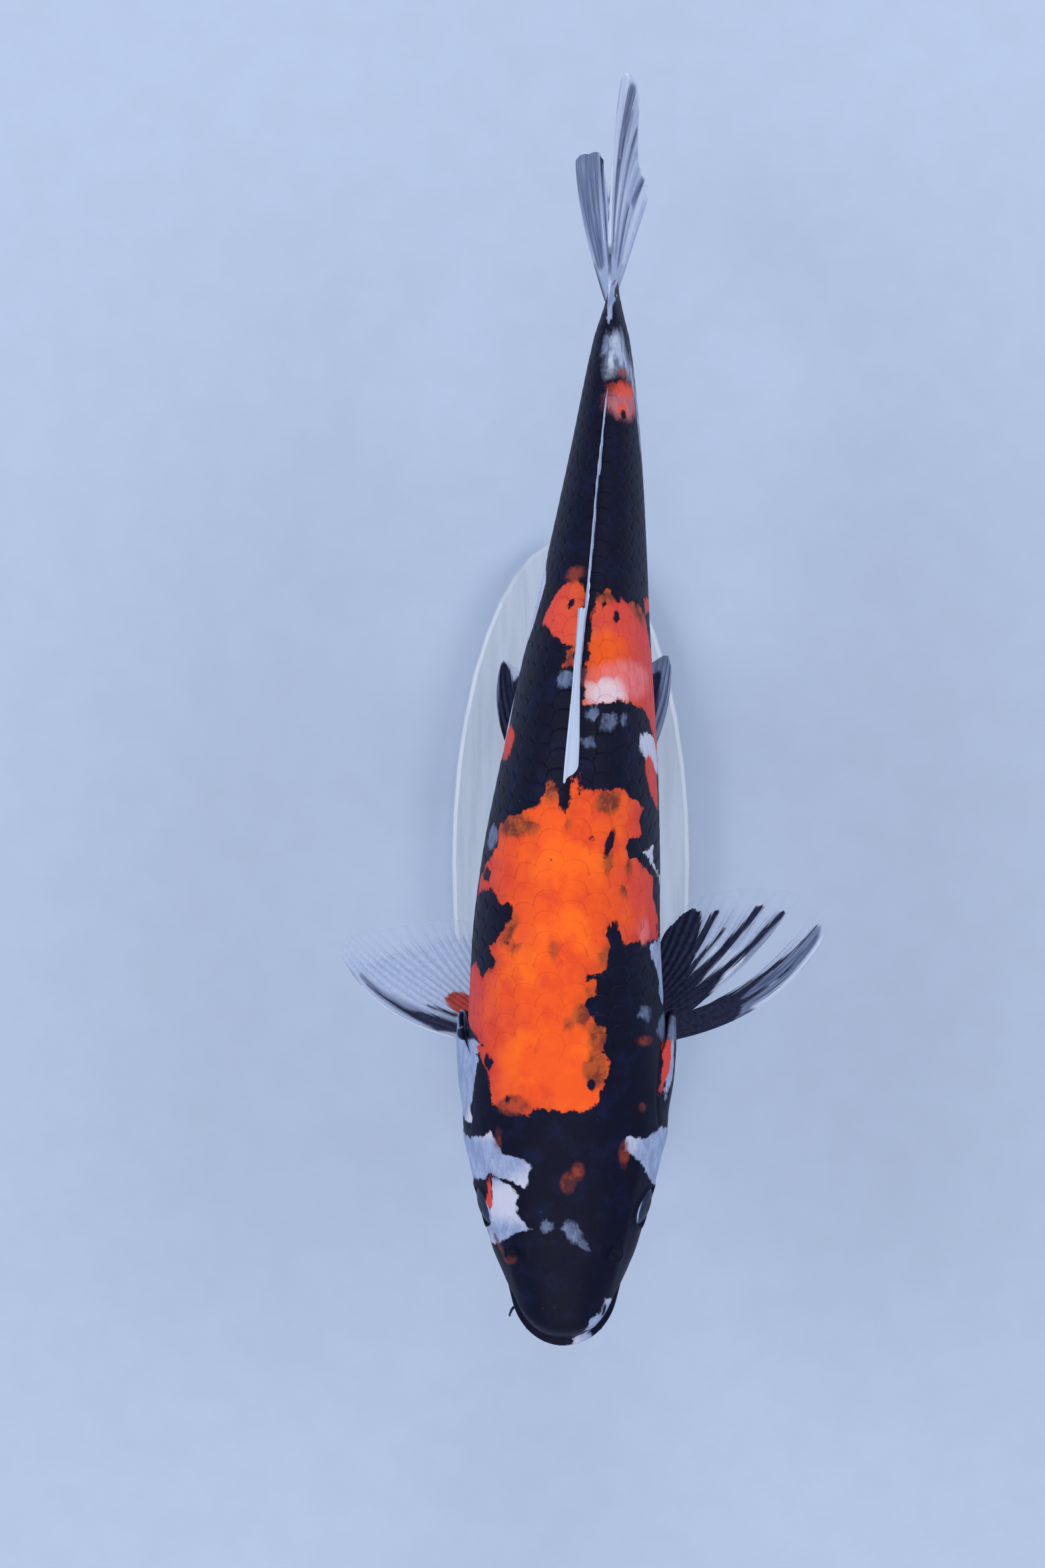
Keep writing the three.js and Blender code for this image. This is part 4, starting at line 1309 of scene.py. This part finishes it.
def eyeball(name, side, material, node):
    """A flattened ball set in its socket, its rings running round the eye's own axis."""
    share = side * CHART.share_at(EYE["at"], EYE["height"])
    at = np.array(float(EYE["at"]))
    surface = CHART.point(at, share)
    out = CHART.outward(at, share)
    axis = Vector(unit(place(surface + out) - place(surface)).tolist())
    turn = axis.to_track_quat("Z", "Y")
    centre = place(surface - out * EYE["set_in"])
    polars = np.linspace(0, math.pi, EYE_ROWS + 2)[1:-1]
    points = []
    ring = []
    for polar in polars:
        wide = EYE["ball"] * math.sin(polar)
        deep = EYE["bulge"] * math.cos(polar)
        for k in range(EYE_AROUND):
            angle = 2 * math.pi * k / EYE_AROUND
            local = Vector((wide * math.cos(angle), wide * math.sin(angle), deep))
            points.append(centre + np.array(turn @ local) * MM)
            ring.append(wide if polar < math.pi / 2 else EYE["ball"])
    count = len(points)
    points.append(centre + np.array(axis) * EYE["bulge"] * MM)
    points.append(centre - np.array(axis) * EYE["bulge"] * MM)
    ring += [0, EYE["ball"]]
    faces = [tuple(reversed(face)) for face in ring_faces(0, EYE_ROWS, EYE_AROUND)]
    faces += [(count, i, j) for i, j in steps_round(range(EYE_AROUND))]
    faces += [(count + 1, j, i) for i, j in steps_round(range(count - EYE_AROUND, count))]
    ball = new_object(name, points, faces)
    store(ball, "ring", ring)
    # The pale border shows only where the eye faces upwards
    heights = (np.array(points)[:, 2] - centre[2]) / MM
    store(ball, "upward", 0.12 + 0.88 * smooth(2.5, 5.5, heights))
    return dress(ball, material, (node,))


class KOI_OT_eyes(bpy.types.Operator):
    """Sets the eyes in their sockets"""

    bl_idname = "koi.eyes"
    bl_label = "Eyes"

    def execute(self, context):
        material = eye_material("koi_eye")
        eyeball("eyeball_left", 1, material, "eye_left")
        eyeball("eyeball_right", -1, material, "eye_right")
        return {"FINISHED"}


# ---- Tapered tubes: barbels and fin rays -------------------------------------------------------------
def through(points, share):
    """Places on a smooth curve through points, with even care for long and short gaps."""
    points = np.array(points, float)
    gaps = len(points) - 1
    position = np.clip(share, 0, 1) * gaps
    i = np.minimum(position.astype(int), gaps - 1)
    w = (position - i)[:, None]
    longer = np.vstack([2 * points[0] - points[1], points, 2 * points[-1] - points[-2]])
    p0, p1, p2, p3 = longer[i], longer[i + 1], longer[i + 2], longer[i + 3]

    def gap(a, b):
        return np.maximum(((a - b) ** 2).sum(-1, keepdims=True) ** 0.25, 1e-4)

    d0, d1, d2 = gap(p0, p1), gap(p1, p2), gap(p2, p3)
    t1 = ((p1 - p0) / d0 - (p2 - p0) / (d0 + d1) + (p2 - p1) / d1) * d1
    t2 = ((p2 - p1) / d1 - (p3 - p1) / (d1 + d2) + (p3 - p2) / d2) * d1
    return p1 + t1 * w + (3 * (p2 - p1) - 2 * t1 - t2) * w**2 + (2 * (p1 - p2) + t1 + t2) * w**3


def tubes(name, lines, radii, extras, material, sides):
    """Closed tapered tubes along lines, as one plain mesh; extras are values kept for each point."""
    points = np.concatenate(lines)
    edges = []
    start = 0
    for line in lines:
        edges += [(start + k, start + k + 1) for k in range(len(line) - 1)]
        start += len(line)
    piece = new_object(name + "_lines", points, (), edges)
    store(piece, "thick", np.concatenate(radii))
    for key, values in extras.items():
        store(piece, key, values)
    tree = Tree(name + " tubes", material)
    count = tree.value("Sides", "Int", sides)
    curve = tree.node("GeometryNodeMeshToCurve", None, {"Mesh": tree.entry.outputs[0]})
    sockets = {"Resolution": count, "Radius": 1.0}
    ring = tree.node("GeometryNodeCurvePrimitiveCircle", {"mode": "RADIUS"}, sockets)
    tube = tree.node(
        "GeometryNodeCurveToMesh",
        None,
        {"Curve": curve, "Profile Curve": ring, "Scale": tree.named("thick"), "Fill Caps": True},
    )
    return tree.apply(piece, tube, name)


BARBEL_POINTS = 20
BARBEL_SIDES = 14
# Each barbel's path as side, at and height, and its radius at the root and the tip.
BARBELS = {
    "barbel_corner_left": (
        [(15.5, 16, -10.5), (17.4, 14.5, -13), (17.8, 13.8, -17.5), (17, 14.2, -22), (15.8, 15.6, -26)],
        0.6, 0.28,
    ),
    "barbel_corner_right": (
        [(-15.5, 14, -10.5), (-18.2, 11.8, -12.5), (-19.2, 9.5, -16.5), (-19.6, 8, -21),
         (-19.4, 7.2, -25.5)],
        0.6, 0.28,
    ),
    "barbel_lip_left": (
        [(9, 7, -3.5), (12.9, 5.6, -6.5), (12.6, 5.6, -10), (10.8, 6, -13.5)],
        0.5, 0.3,
    ),
    "barbel_lip_right": (
        [(-9, 7, -3.5), (-12.9, 5.6, -6.5), (-12.6, 5.6, -10), (-10.8, 6, -13.5)],
        0.5, 0.3,
    ),
}
BARBEL_TONE = (0.01, 0.012, 0.036)


class KOI_OT_barbels(bpy.types.Operator):
    """Makes the two pairs of feelers at the mouth"""

    bl_idname = "koi.barbels"
    bl_label = "Barbels"

    def execute(self, context):
        share = np.linspace(0, 1, BARBEL_POINTS)
        lines = [place(through(points, share)) for points, _, _ in BARBELS.values()]
        radii = []
        for _, root, tip in BARBELS.values():
            taper = root + (tip - root) * share
            # Rounded off at the tip
            taper *= np.sqrt(np.clip(1 - np.clip((share - 0.9) / 0.1, 0, 0.97) ** 2, 0, 1))
            radii.append(taper * MM)
        black = tuple(context.scene.koi_colours.black)
        material = plain_material(
            "koi_barbel", black, BARBEL_TONE, 500, Roughness=0.5, Specular_IOR_Level=0.1
        )
        piece = tubes("barbels", lines, radii, {}, material, BARBEL_SIDES)
        dress(piece, material, tuple(BARBELS))
        return {"FINISHED"}


# ---- The fins ----------------------------------------------------------------------------------------
# Each fin has a number of rays, its size across and along the rays for its streaks, and how solid its
# membrane is (veil) and how deep its folds are (pleat). Root, bend and edge are curves through points given
# as side, at and height: a ray at a share across the fin leaves the root for the bend and ends at the edge.
# Some fins have more pairs by the share across: how far along the rays the fin goes (reach), and how far
# it leans to the side (lean). Crowd draws the rays' roots together at the front, up to that share across,
# and dark_root is the share along the rays that is black at the root. The rest are streaks, each from one
# place across and along to another, with its width in mm at both ends.
FINS = {
    "dorsal_fin": {
        "rays": 19, "size": (130, 30), "veil": 0.6, "pleat": 0.22, "crowd": 0.25,
        "lean": [(0, -1.8), (0.045, 0.4), (0.09, 2.3), (0.16, 1.2), (0.3, 0.4), (1, 0)],
        "root": [(0, 189, 50), (0, 232, 46.5), (0, 278, 37), (0, 322, 26)],
        "bend": [(0, 220, 66.5), (0, 240, 59), (0, 268, 49.5), (0, 302, 40), (0, 329, 32)],
        "edge": [(-0.3, 257.5, 74), (1.6, 258.5, 65), (0.6, 276, 54), (-0.2, 306, 42), (1, 334.6, 33)],
        "milk": [(0, 0.1, 0.07, 1, 6, 5), (0.29, 1, 0.56, 0.9, 1.6, 1.6),
                 (0.56, 0.9, 0.94, 0.8, 1.6, 1.4)],
        "ink": [(0.12, 0.1, 0.13, 0.95, 0.8, 0.8), (0.2, 0, 0.22, 0.9, 1.2, 0.8),
                (0.3, 0, 0.34, 0.6, 3, 1.2), (0.5, 0, 0.5, 0.5, 5, 2), (0.75, 0, 0.75, 0.5, 5, 3),
                (0.93, 0, 0.93, 0.4, 4, 2)],
        "flush": [(0, 0, 0.05, 0.1, 3, 1.5)],
    },
    "tail_fin_upper": {
        "rays": 10, "size": (60, 70), "veil": 0.62, "pleat": 1.0, "dark_root": 0,
        "reach": [(0, 0.93), (0.03, 0.98), (0.08, 1), (0.16, 1), (0.24, 0.98), (0.32, 0.95), (0.4, 0.97),
                  (0.46, 0.96), (0.55, 0.93), (0.65, 0.91), (0.75, 0.95), (0.84, 0.99), (0.95, 1),
                  (1, 0.96)],
        "root": [(-0.3, 365, 20.5), (0, 368, 10), (0.3, 369.5, 0.8)],
        "bend": [(-4.2, 410, 35), (-1, 405, 18), (4.3, 385, 2)],
        "edge": [(0.8, 440, 60), (6.8, 435, 52), (7.6, 423.5, 40), (9, 411, 25), (10.2, 404.5, 9)],
        "milk": [(0.02, 0.25, 0.06, 0.97, 2.2, 2.4), (0.3, 0.3, 0.36, 0.92, 1.4, 2.2),
                 (0.9, 0.3, 0.9, 0.95, 1.4, 2.6), (0.55, 0.3, 0.6, 0.85, 1, 1.4), (0, 0, 1, 0, 6, 6)],
        "smoke": [(0, 0.13, 0, 0.21, 1.8, 1.6), (0.15, 0.2, 0.18, 0.92, 1.2, 3.4),
                  (0.7, 0.2, 0.7, 0.6, 1, 1.2), (0.45, 0.2, 0.46, 0.9, 1, 1.6),
                  (0.76, 0.7, 0.8, 0.93, 1.4, 2.2), (0.24, 0.45, 0.25, 0.85, 0.8, 1)],
        "ink": [(0, 0.15, 0, 0.19, 0.3, 0.2), (0.04, 0.32, 0.04, 0.36, 0.4, 0.4),
                (0.04, 0.4, 0.04, 0.46, 0.4, 0.3), (0.14, 0.2, 0.17, 0.6, 0.35, 0.2)],
        "clear": [(0, 1, 1, 1, 2, 2)],
    },
    "tail_fin_lower": {
        "rays": 10, "size": (60, 70), "veil": 0.55, "pleat": 0.6, "dark_root": 0,
        "reach": [(0, 0.97), (0.12, 1), (0.3, 1), (0.5, 1), (0.7, 0.98), (0.9, 1), (1, 0.96)],
        "root": [(0, 369.5, -0.8), (-0.6, 368, -9), (-1.2, 365, -18.5)],
        "bend": [(-1, 387, -5), (-7, 398, -22), (-17, 402, -45)],
        "edge": [(-3, 404, -11), (-7, 417, -29), (-10.9, 430, -50), (-16.3, 432.7, -64), (-21.3, 432, -75)],
        "milk": [(0, 0, 1, 0, 6, 6)],
        "smoke": [(0.75, 0.3, 0.75, 0.95, 4, 14), (0.34, 0.3, 0.4, 1, 2, 4),
                  (0.1, 0.4, 0.14, 0.9, 2, 2)],
        "ink": [(0.36, 0.45, 0.42, 1, 0.8, 2.4), (0.97, 0.08, 0.95, 0.3, 0.8, 0.6)],
        "clear": [(0, 1, 1, 1, 2, 2)],
    },
    "anal_fin": {
        "rays": 8, "size": (26, 48), "veil": 0.62, "pleat": 0.6,
        "root": [(0, 284, -27), (0, 298, -24.5), (0, 312, -22)],
        "bend": [(0, 299, -52), (1, 309, -44), (1, 321, -33)],
        "edge": [(2, 322, -71), (4, 328, -60), (3, 333, -49), (1.5, 334, -40)],
        "milk": [(0, 0.2, 0.04, 0.9, 1.4, 1.2)],
        "smoke": [(0.3, 0.2, 0.4, 0.8, 2, 3)],
        "ink": [(0.1, 0, 0.2, 0.5, 4, 1), (0.6, 0, 0.7, 0.7, 3, 1)],
        "flush": [(0.35, 0, 0.4, 0.35, 3, 1)],
        "clear": [(0, 1, 1, 1, 3, 3)],
    },
    "pectoral_fin_left": {
        "rays": 15, "size": (70, 62), "veil": 0.4, "pleat": 0.45,
        "reach": [(0, 1), (0.2, 0.99), (0.212, 0.62), (0.235, 0.33), (0.262, 0.255), (0.29, 0.33),
                  (0.312, 0.62), (0.325, 0.99), (1, 1)],
        "root": [(26, 105, -25), (25.5, 112, -28), (23, 118, -31)],
        "bend": [(75, 110, -32), (62, 125.5, -33), (48, 133, -33), (31, 136.5, -34)],
        "edge": [(92.5, 145, -36), (90.5, 151.5, -36), (82, 159.5, -36), (70, 161.5, -37), (54, 160.5, -38),
                 (44, 157, -38), (35, 148, -38)],
        "milk": [(0, 0.1, 0, 0.27, 0.5, 0.7), (0, 0.5, 0.02, 0.95, 1.2, 1.6),
                 (0.335, 0.27, 0.36, 0.58, 1.2, 1.6), (0.43, 0.28, 0.46, 0.6, 0.9, 1.5),
                 (0.57, 0.34, 0.56, 0.6, 0.6, 0.9)],
        "smoke": [(0.08, 0.3, 0.1, 0.9, 5, 4), (0.37, 0.4, 0.35, 0.85, 1.5, 1.5)],
        "ink": [(0.1, 0, 0.12, 0.38, 16, 4.6), (0.17, 0.38, 0.18, 0.7, 1.8, 0.5),
                (0.17, 0.66, 0.15, 0.95, 0.55, 0.45), (0.1, 0.38, 0.1, 0.6, 1.3, 0.4),
                (0.09, 0.66, 0.09, 0.93, 0.45, 0.35), (0.35, 0.1, 0.4, 0.5, 5, 1.4),
                (0.4, 0.46, 0.35, 0.87, 1.4, 0.9), (0.5, 0.1, 0.53, 0.42, 5, 2.2),
                (0.53, 0.4, 0.48, 0.87, 1.8, 1.2), (0.6, 0.2, 0.62, 0.5, 2.4, 0.9),
                (0.62, 0.46, 0.58, 0.74, 0.8, 0.35), (0.66, 0.2, 0.7, 0.5, 2.6, 1.8),
                (0.71, 0.46, 0.665, 0.84, 2, 1.2), (0.9, 0.1, 0.88, 0.78, 13, 8.5),
                (0.79, 0.5, 0.77, 0.85, 2.2, 1.1)],
        "clear": [(0.2, 1, 1, 1, 8, 8), (0, 1, 0.2, 1, 1, 1)],
    },
    "pectoral_fin_right": {
        "rays": 16, "size": (66, 58), "veil": 0.68, "pleat": 0.4,
        "root": [(-26, 105, -25), (-25.5, 112, -28), (-23, 118, -31)],
        "bend": [(-67, 107, -36), (-55, 122, -38), (-44, 130, -38), (-30, 133, -36)],
        "edge": [(-85.3, 136, -50), (-84, 141.5, -50), (-80, 144, -50), (-69, 145.5, -48), (-54, 148.5, -46),
                 (-45.5, 150, -42), (-36, 147.5, -40)],
        "milk": [(0, 0.2, 0, 0.8, 0.9, 0.9)],
        "ink": [(0.16, 0.12, 0.1, 0.3, 1.2, 2.4), (0.1, 0.3, 0.07, 0.5, 2.2, 0.7),
                (0.07, 0.5, 0.04, 0.76, 0.8, 0.3), (0.26, 0.24, 0.22, 0.4, 0.9, 0.5)],
        "smoke": [(0.1, 0.2, 0.06, 0.8, 3, 1.2)],
        "flush": [(0.46, 0.1, 0.44, 0.3, 5.5, 3.6)],
        "clear": [(0.3, 1, 1, 1, 11, 11), (0, 1, 0.3, 1, 2, 8)],
    },
    "pelvic_fin_left": {
        "rays": 9, "size": (24, 46), "veil": 0.55, "pleat": 0.5,
        "root": [(9.5, 188, -40), (6.5, 192, -41), (3, 196, -42)],
        "bend": [(30.5, 211, -41.5), (18, 214, -47), (8, 212, -50)],
        "edge": [(28, 241, -51.5), (26, 246, -53), (21, 243.6, -56), (13, 238, -58), (6, 230, -56)],
        "smoke": [(0.1, 0.2, 0.1, 1, 2, 2), (0.5, 0.6, 0.5, 1, 6, 8)],
        "ink": [(0.35, 0, 0.4, 0.85, 6, 2.6), (0.75, 0, 0.75, 0.75, 6, 5)],
        "clear": [(0, 1, 1, 1, 2, 2)],
    },
    "pelvic_fin_right": {
        "rays": 9, "size": (24, 46), "veil": 0.6, "pleat": 0.5,
        "root": [(-9.5, 188, -40), (-6.5, 192, -41), (-3, 196, -42)],
        "bend": [(-37, 212, -44), (-24, 214, -48), (-12, 211, -50)],
        "edge": [(-35.3, 239, -51), (-34, 244.4, -53), (-27.4, 240, -56), (-18, 236, -58), (-8, 229, -56)],
        "smoke": [(0.1, 0.5, 0.1, 1, 2, 2)],
        "ink": [(0.2, 0, 0.22, 0.92, 6, 3), (0.65, 0, 0.65, 0.85, 7, 6)],
        "clear": [(0, 1, 1, 1, 1, 1)],
    },
}


STREAK_KINDS = ("ink", "smoke", "milk", "flush")
# The share along the rays that is black at the root, where a fin has none of its own.
DARK_ROOT = 0.05
# How finely the membrane and the rays are made.
MEMBRANE_ROWS = 44
MEMBRANE_PER_RAY = 8
RAY_POINTS = 14
RAY_SIDES = 6
# A ray's parts, forking twice: from and to along the fin, and from and to either side of the ray, in
# shares of the gap to the next one.
FORKS = [(0.02, 0.55, 0, 0), (0.5, 0.78, 0, 0.3), (0.5, 0.78, 0, -0.3), (0.74, 1.0, 0.3, 0.55),
         (0.74, 1.0, 0.3, 0.12), (0.74, 1.0, -0.3, -0.12), (0.74, 1.0, -0.3, -0.55)]


def fin_places(fin, across, along):
    """Side, at and height of places on a fin's middle sheet."""
    crowded = across.ravel()
    if "crowd" in fin:
        crowded = crowded * smooth(0, fin["crowd"], crowded)
    root = through(fin["root"], crowded)
    bend, edge = (through(fin[key], across.ravel()) for key in ("bend", "edge"))
    t = along.ravel()[:, None]
    points = (root * (1 - t) ** 2 + 2 * bend * t * (1 - t) + edge * t**2).reshape(*across.shape, 3)
    if "lean" in fin:
        share = smooth(0, 0.06, along) * (1 - 0.72 * smooth(0.15, 0.75, along))
        points[..., 0] += profile(fin["lean"], across) * share
    return points


def fin_outwards(fin, across, along):
    """The direction square to a fin's sheet."""
    small = 0.01
    wide = fin_places(fin, np.minimum(across + small, 1), along)
    wide -= fin_places(fin, np.maximum(across - small, 0), along)
    high = fin_places(fin, across, along + small) - fin_places(fin, across, along - small)
    return unit(np.cross(wide, high))


def pleated(fin, across, along):
    """A fin's sheet folded gently between its rays."""
    points = fin_places(fin, across, along)
    fold = np.cos(2 * math.pi * (across * fin["rays"])) * smooth(0.0, 0.35, along)
    return points + fin_outwards(fin, across, along) * (fold * fin["pleat"] / 2)[..., None]


def reach(fin, across):
    """How far along each ray the fin goes: a softly scalloped edge, with the fin's own tips and gaps."""
    scallop = 0.994 - 0.007 * np.abs(np.sin(math.pi * (across * fin["rays"])))
    if "reach" in fin:
        places, values = np.array(fin["reach"], float).T
        scallop = scallop * np.interp(across, places, values)
    return scallop


def streaks(fin, kind, across, along):
    """How far places lie inside a fin's streaks of one kind, in mm."""
    wide, high = fin["size"]
    result = np.full(across.shape, OUTSIDE)
    fan = wide * (0.2 + 0.8 * along)
    for a0, b0, a1, b1, w0, w1 in fin.get(kind, ()):
        da = (a1 - a0) * wide
        db = (b1 - b0) * high
        share = ((across - a0) * da * wide + (along - b0) * db * high) / (da * da + db * db)
        share = np.clip(share, 0, 1)
        off_across = (across - (a0 + (a1 - a0) * share)) * fan
        off_along = (along - (b0 + (b1 - b0) * share)) * high
        width = w0 + (w1 - w0) * share
        result = np.maximum(result, width - np.hypot(off_across, off_along))
    return result


def fin_marks(fin, across, along):
    """Each fin marking's depth in mm, and how milky the membrane is."""
    marks = {kind: streaks(fin, kind, across, along) for kind in STREAK_KINDS}
    root_dark = np.clip((fin.get("dark_root", DARK_ROOT) - along) * 40, OUTSIDE, 1)
    marks["ink"] = np.maximum(marks["ink"], root_dark)
    clear = smooth(-9, 3, streaks(fin, "clear", across, along))
    marks["veil"] = fin["veil"] * (1 - 0.8 * clear)
    marks["across"] = across
    marks["along"] = along
    return marks


def build_membrane(name, fin, sizes, material):
    """A thin closed sheet between the rays."""
    even = np.linspace(0, 1, fin["rays"] * MEMBRANE_PER_RAY + 1)
    tips_and_gaps = [place_across for place_across, _ in fin.get("reach", ())]
    columns = np.unique(np.concatenate([even, tips_and_gaps]))
    across = np.broadcast_to(columns, (MEMBRANE_ROWS, len(columns)))
    along = (np.linspace(0, 1, MEMBRANE_ROWS) ** 0.9)[:, None] * reach(fin, across)
    thickness = (sizes.membrane / MM) * (1 - 0.72 * along**0.6) / 2
    thickness = thickness * (0.35 + 0.65 * smooth(0, 0.04, np.minimum(across, 1 - across)))
    middle = pleated(fin, across, along)
    out = fin_outwards(fin, across, along)
    front = middle + out * thickness[..., None]
    back = middle - out * thickness[..., None]
    count = across.size
    faces = []
    for quad in grid_faces(*across.shape):
        faces.append(quad)
        faces.append(tuple(count + k for k in reversed(quad)))
    for a, b in steps_round(grid_rim(*across.shape)):
        faces.append((b, a, count + a, count + b))
    piece = new_object(name + "_membrane", place(np.concatenate([front, back]).reshape(-1, 3)), faces)

    def twice(values):
        return np.concatenate([values.ravel(), values.ravel()])

    for key, values in fin_marks(fin, across, along).items():
        store(piece, key, twice(values))
    give_uv(piece, "Along rays", np.stack([twice(across), twice(along)], 1))
    return dress(piece, material, (name,))


def ray_lines(fin, sizes):
    """Rays that fork twice on the way to the edge, as across, along and radius of each line."""
    lines = []
    thick = sizes.ray_radius / MM
    half = 0.5 / fin["rays"]
    for k in range(fin["rays"] + 1):
        root = min(max(k / fin["rays"], 0.004), 0.996)
        for start, end, from_off, to_off in FORKS:
            share = np.linspace(0, 1, RAY_POINTS)
            across = root + half * (from_off + (to_off - from_off) * smooth(0, 1, share))
            across = np.clip(across, 0.002, 0.998)
            along = start + (end - start) * share
            limit = np.min(reach(fin, across)) - 0.012
            if limit < start + 0.03:
                continue
            along = np.minimum(along, limit * (0.97 + 0.03 * share))
            stout = 1.35 if k == 0 else 1.0
            radius = thick * stout * (1 - 0.66 * along**0.8) * (0.74 if start > 0.4 else 1)
            radius = radius * (0.72 if start > 0.7 else 1) * (1 - 0.6 * smooth(0.8, 1.0, along / limit))
            lines.append((across, along, radius))
    return lines


def build_rays(name, fin, sizes, material):
    """The fin's forked rays, each a tapered tube."""
    lines = ray_lines(fin, sizes)
    across = np.concatenate([line[0] for line in lines])
    along = np.concatenate([line[1] for line in lines])
    points = place(pleated(fin, across, along))
    cuts = np.cumsum([len(line[0]) for line in lines])[:-1]
    marks = fin_marks(fin, across, along)
    radii = [line[2] * MM for line in lines]
    piece = tubes(name + "_rays", np.split(points, cuts), radii, marks, material, RAY_SIDES)
    give_uv(piece, "Along rays", np.stack([read(piece, "across"), read(piece, "along")], 1))
    return dress(piece, material)


class KOI_OT_fins(bpy.types.Operator):
    """Spreads the fins, each a membrane on forked rays"""

    bl_idname = "koi.fins"
    bl_label = "Fins"

    def execute(self, context):
        sizes = context.scene.koi_sizes
        membrane = fin_material("koi_fin_membrane", context.scene.koi_colours, False)
        ribs = fin_material("koi_fin_ray", context.scene.koi_colours, True)
        for name, fin in FINS.items():
            build_membrane(name, fin, sizes, membrane)
            build_rays(name, fin, sizes, ribs)
        return {"FINISHED"}


# ---- The stand ---------------------------------------------------------------------------------------
def paint_node(name, material):
    """Gives a carried-over node its finish."""
    node = bpy.data.objects[name]
    for slot in node.material_slots:
        slot.material = material
    if not node.material_slots:
        node.data.materials.append(material)


STEEL = (0.55, 0.55, 0.56)
STEEL_SHADE = (0.45, 0.45, 0.47)


class KOI_OT_stand(bpy.types.Operator):
    """Finishes the base and its two rods"""

    bl_idname = "koi.stand"
    bl_label = "Stand"

    def execute(self, context):
        lacquer = tuple(context.scene.koi_colours.base)
        darker = tuple(0.86 * part for part in lacquer)
        wood = plain_material(
            "base_lacquer", lacquer, darker, 30, (9, 0.7, 9), Roughness=0.35, Coat_Weight=0.3
        )
        steel = plain_material(
            "rod_steel", STEEL, STEEL_SHADE, 900, (1, 1, 0.05), Roughness=0.32, Metallic=1.0
        )
        paint_node("stand_base", wood)
        paint_node("stand_rod_front", steel)
        paint_node("stand_rod_rear", steel)
        return {"FINISHED"}


# ---- The stage ---------------------------------------------------------------------------------------
# The camera looks straight down from over the body's axis.
CAMERA_AT = (-18.5, 30.3)
CAMERA_OVER_AXIS = 1300
SENSOR = 36.0
LENS = 84.7
FLOOR_REACH = 3.0
ROOM_TINT = (0.78, 0.87, 1.0, 1)
# Name, share of the power, size and place of each light, in metres
LIGHTS = (
    ("light_left", 1.0, 1.1, (-1.25, 0.25, 1.15)),
    ("light_right", 0.85, 1.1, (1.25, 0.35, 1.15)),
    ("light_tail", 0.8, 1.1, (0.1, 1.45, 1.2)),
    ("light_head", 0.8, 1.1, (-0.1, -1.35, 1.1)),
)


def area_light(name, power, size, location, target):
    """A round soft light, turned to its target."""
    data = bpy.data.lights.new(name, "AREA")
    data.energy = power
    data.shape = "DISK"
    data.size = size
    lamp = bpy.data.objects.new(name, data)
    lamp.location = location
    lamp.rotation_euler = (Vector(target) - Vector(location)).to_track_quat("-Z", "Y").to_euler()
    bpy.context.scene.collection.objects.link(lamp)


class KOI_OT_stage(bpy.types.Operator):
    """Lays the floor and sets the lights and the camera"""

    bl_idname = "koi.stage"
    bl_label = "Stage"

    def execute(self, context):
        scene = context.scene
        settings = scene.koi_stage
        far = FLOOR_REACH
        corners = [(-far, -far, 0), (far, -far, 0), (far, far, 0), (-far, far, 0)]
        floor = new_object("floor", corners, [(0, 1, 2, 3)])
        pale = tuple(settings.floor)
        floor.data.materials.append(
            plain_material("floor_card", pale, tuple(0.97 * part for part in pale), 60, Roughness=0.8)
        )
        middle = (0, 0, AXIS_HEIGHT * MM)
        for name, share, size, location in LIGHTS:
            area_light(name, settings.light_power * share, size, location, middle)
        world = bpy.data.worlds.new("soft_room")
        world.use_nodes = True
        background = world.node_tree.nodes["Background"]
        background.inputs["Color"].default_value = ROOM_TINT
        background.inputs["Strength"].default_value = settings.room
        scene.world = world
        scene.view_settings.view_transform = "Standard"
        data = bpy.data.cameras.new("camera")
        data.sensor_width = SENSOR
        data.lens = LENS
        camera = bpy.data.objects.new("camera", data)
        camera.location = (CAMERA_AT[0] * MM, CAMERA_AT[1] * MM, (AXIS_HEIGHT + CAMERA_OVER_AXIS) * MM)
        scene.collection.objects.link(camera)
        scene.camera = camera
        return {"FINISHED"}


# ---- The panel and the run ---------------------------------------------------------------------------
STEPS = (KOI_OT_stage, KOI_OT_skin, KOI_OT_scales, KOI_OT_eyes, KOI_OT_barbels, KOI_OT_fins, KOI_OT_stand)


class KOI_PT_panel(bpy.types.Panel):
    """Lists the steps of building the koi"""

    bl_idname = "KOI_PT_panel"
    bl_label = "Koi Carp"
    bl_space_type = "VIEW_3D"
    bl_region_type = "UI"
    bl_category = "Koi"

    def draw(self, context):
        for step in STEPS:
            self.layout.operator(step.bl_idname)
        for group in (context.scene.koi_sizes, context.scene.koi_colours, context.scene.koi_stage):
            box = self.layout.box()
            for name in group.__annotations__:
                box.prop(group, name)


CLASSES = (KoiSizes, KoiColours, KoiStage, *STEPS, KOI_PT_panel)


def register():
    """Adds the classes and the scene's settings."""
    for item in CLASSES:
        bpy.utils.register_class(item)
    bpy.types.Scene.koi_sizes = bpy.props.PointerProperty(type=KoiSizes)
    bpy.types.Scene.koi_colours = bpy.props.PointerProperty(type=KoiColours)
    bpy.types.Scene.koi_stage = bpy.props.PointerProperty(type=KoiStage)


def unregister():
    """Takes them away again."""
    del bpy.types.Scene.koi_sizes
    del bpy.types.Scene.koi_colours
    del bpy.types.Scene.koi_stage
    for item in reversed(CLASSES):
        bpy.utils.unregister_class(item)


def main():
    """Builds every piece."""
    register()
    for step in STEPS:
        group, name = step.bl_idname.split(".")
        getattr(getattr(bpy.ops, group), name)()


if __name__ == "__main__":
    main()
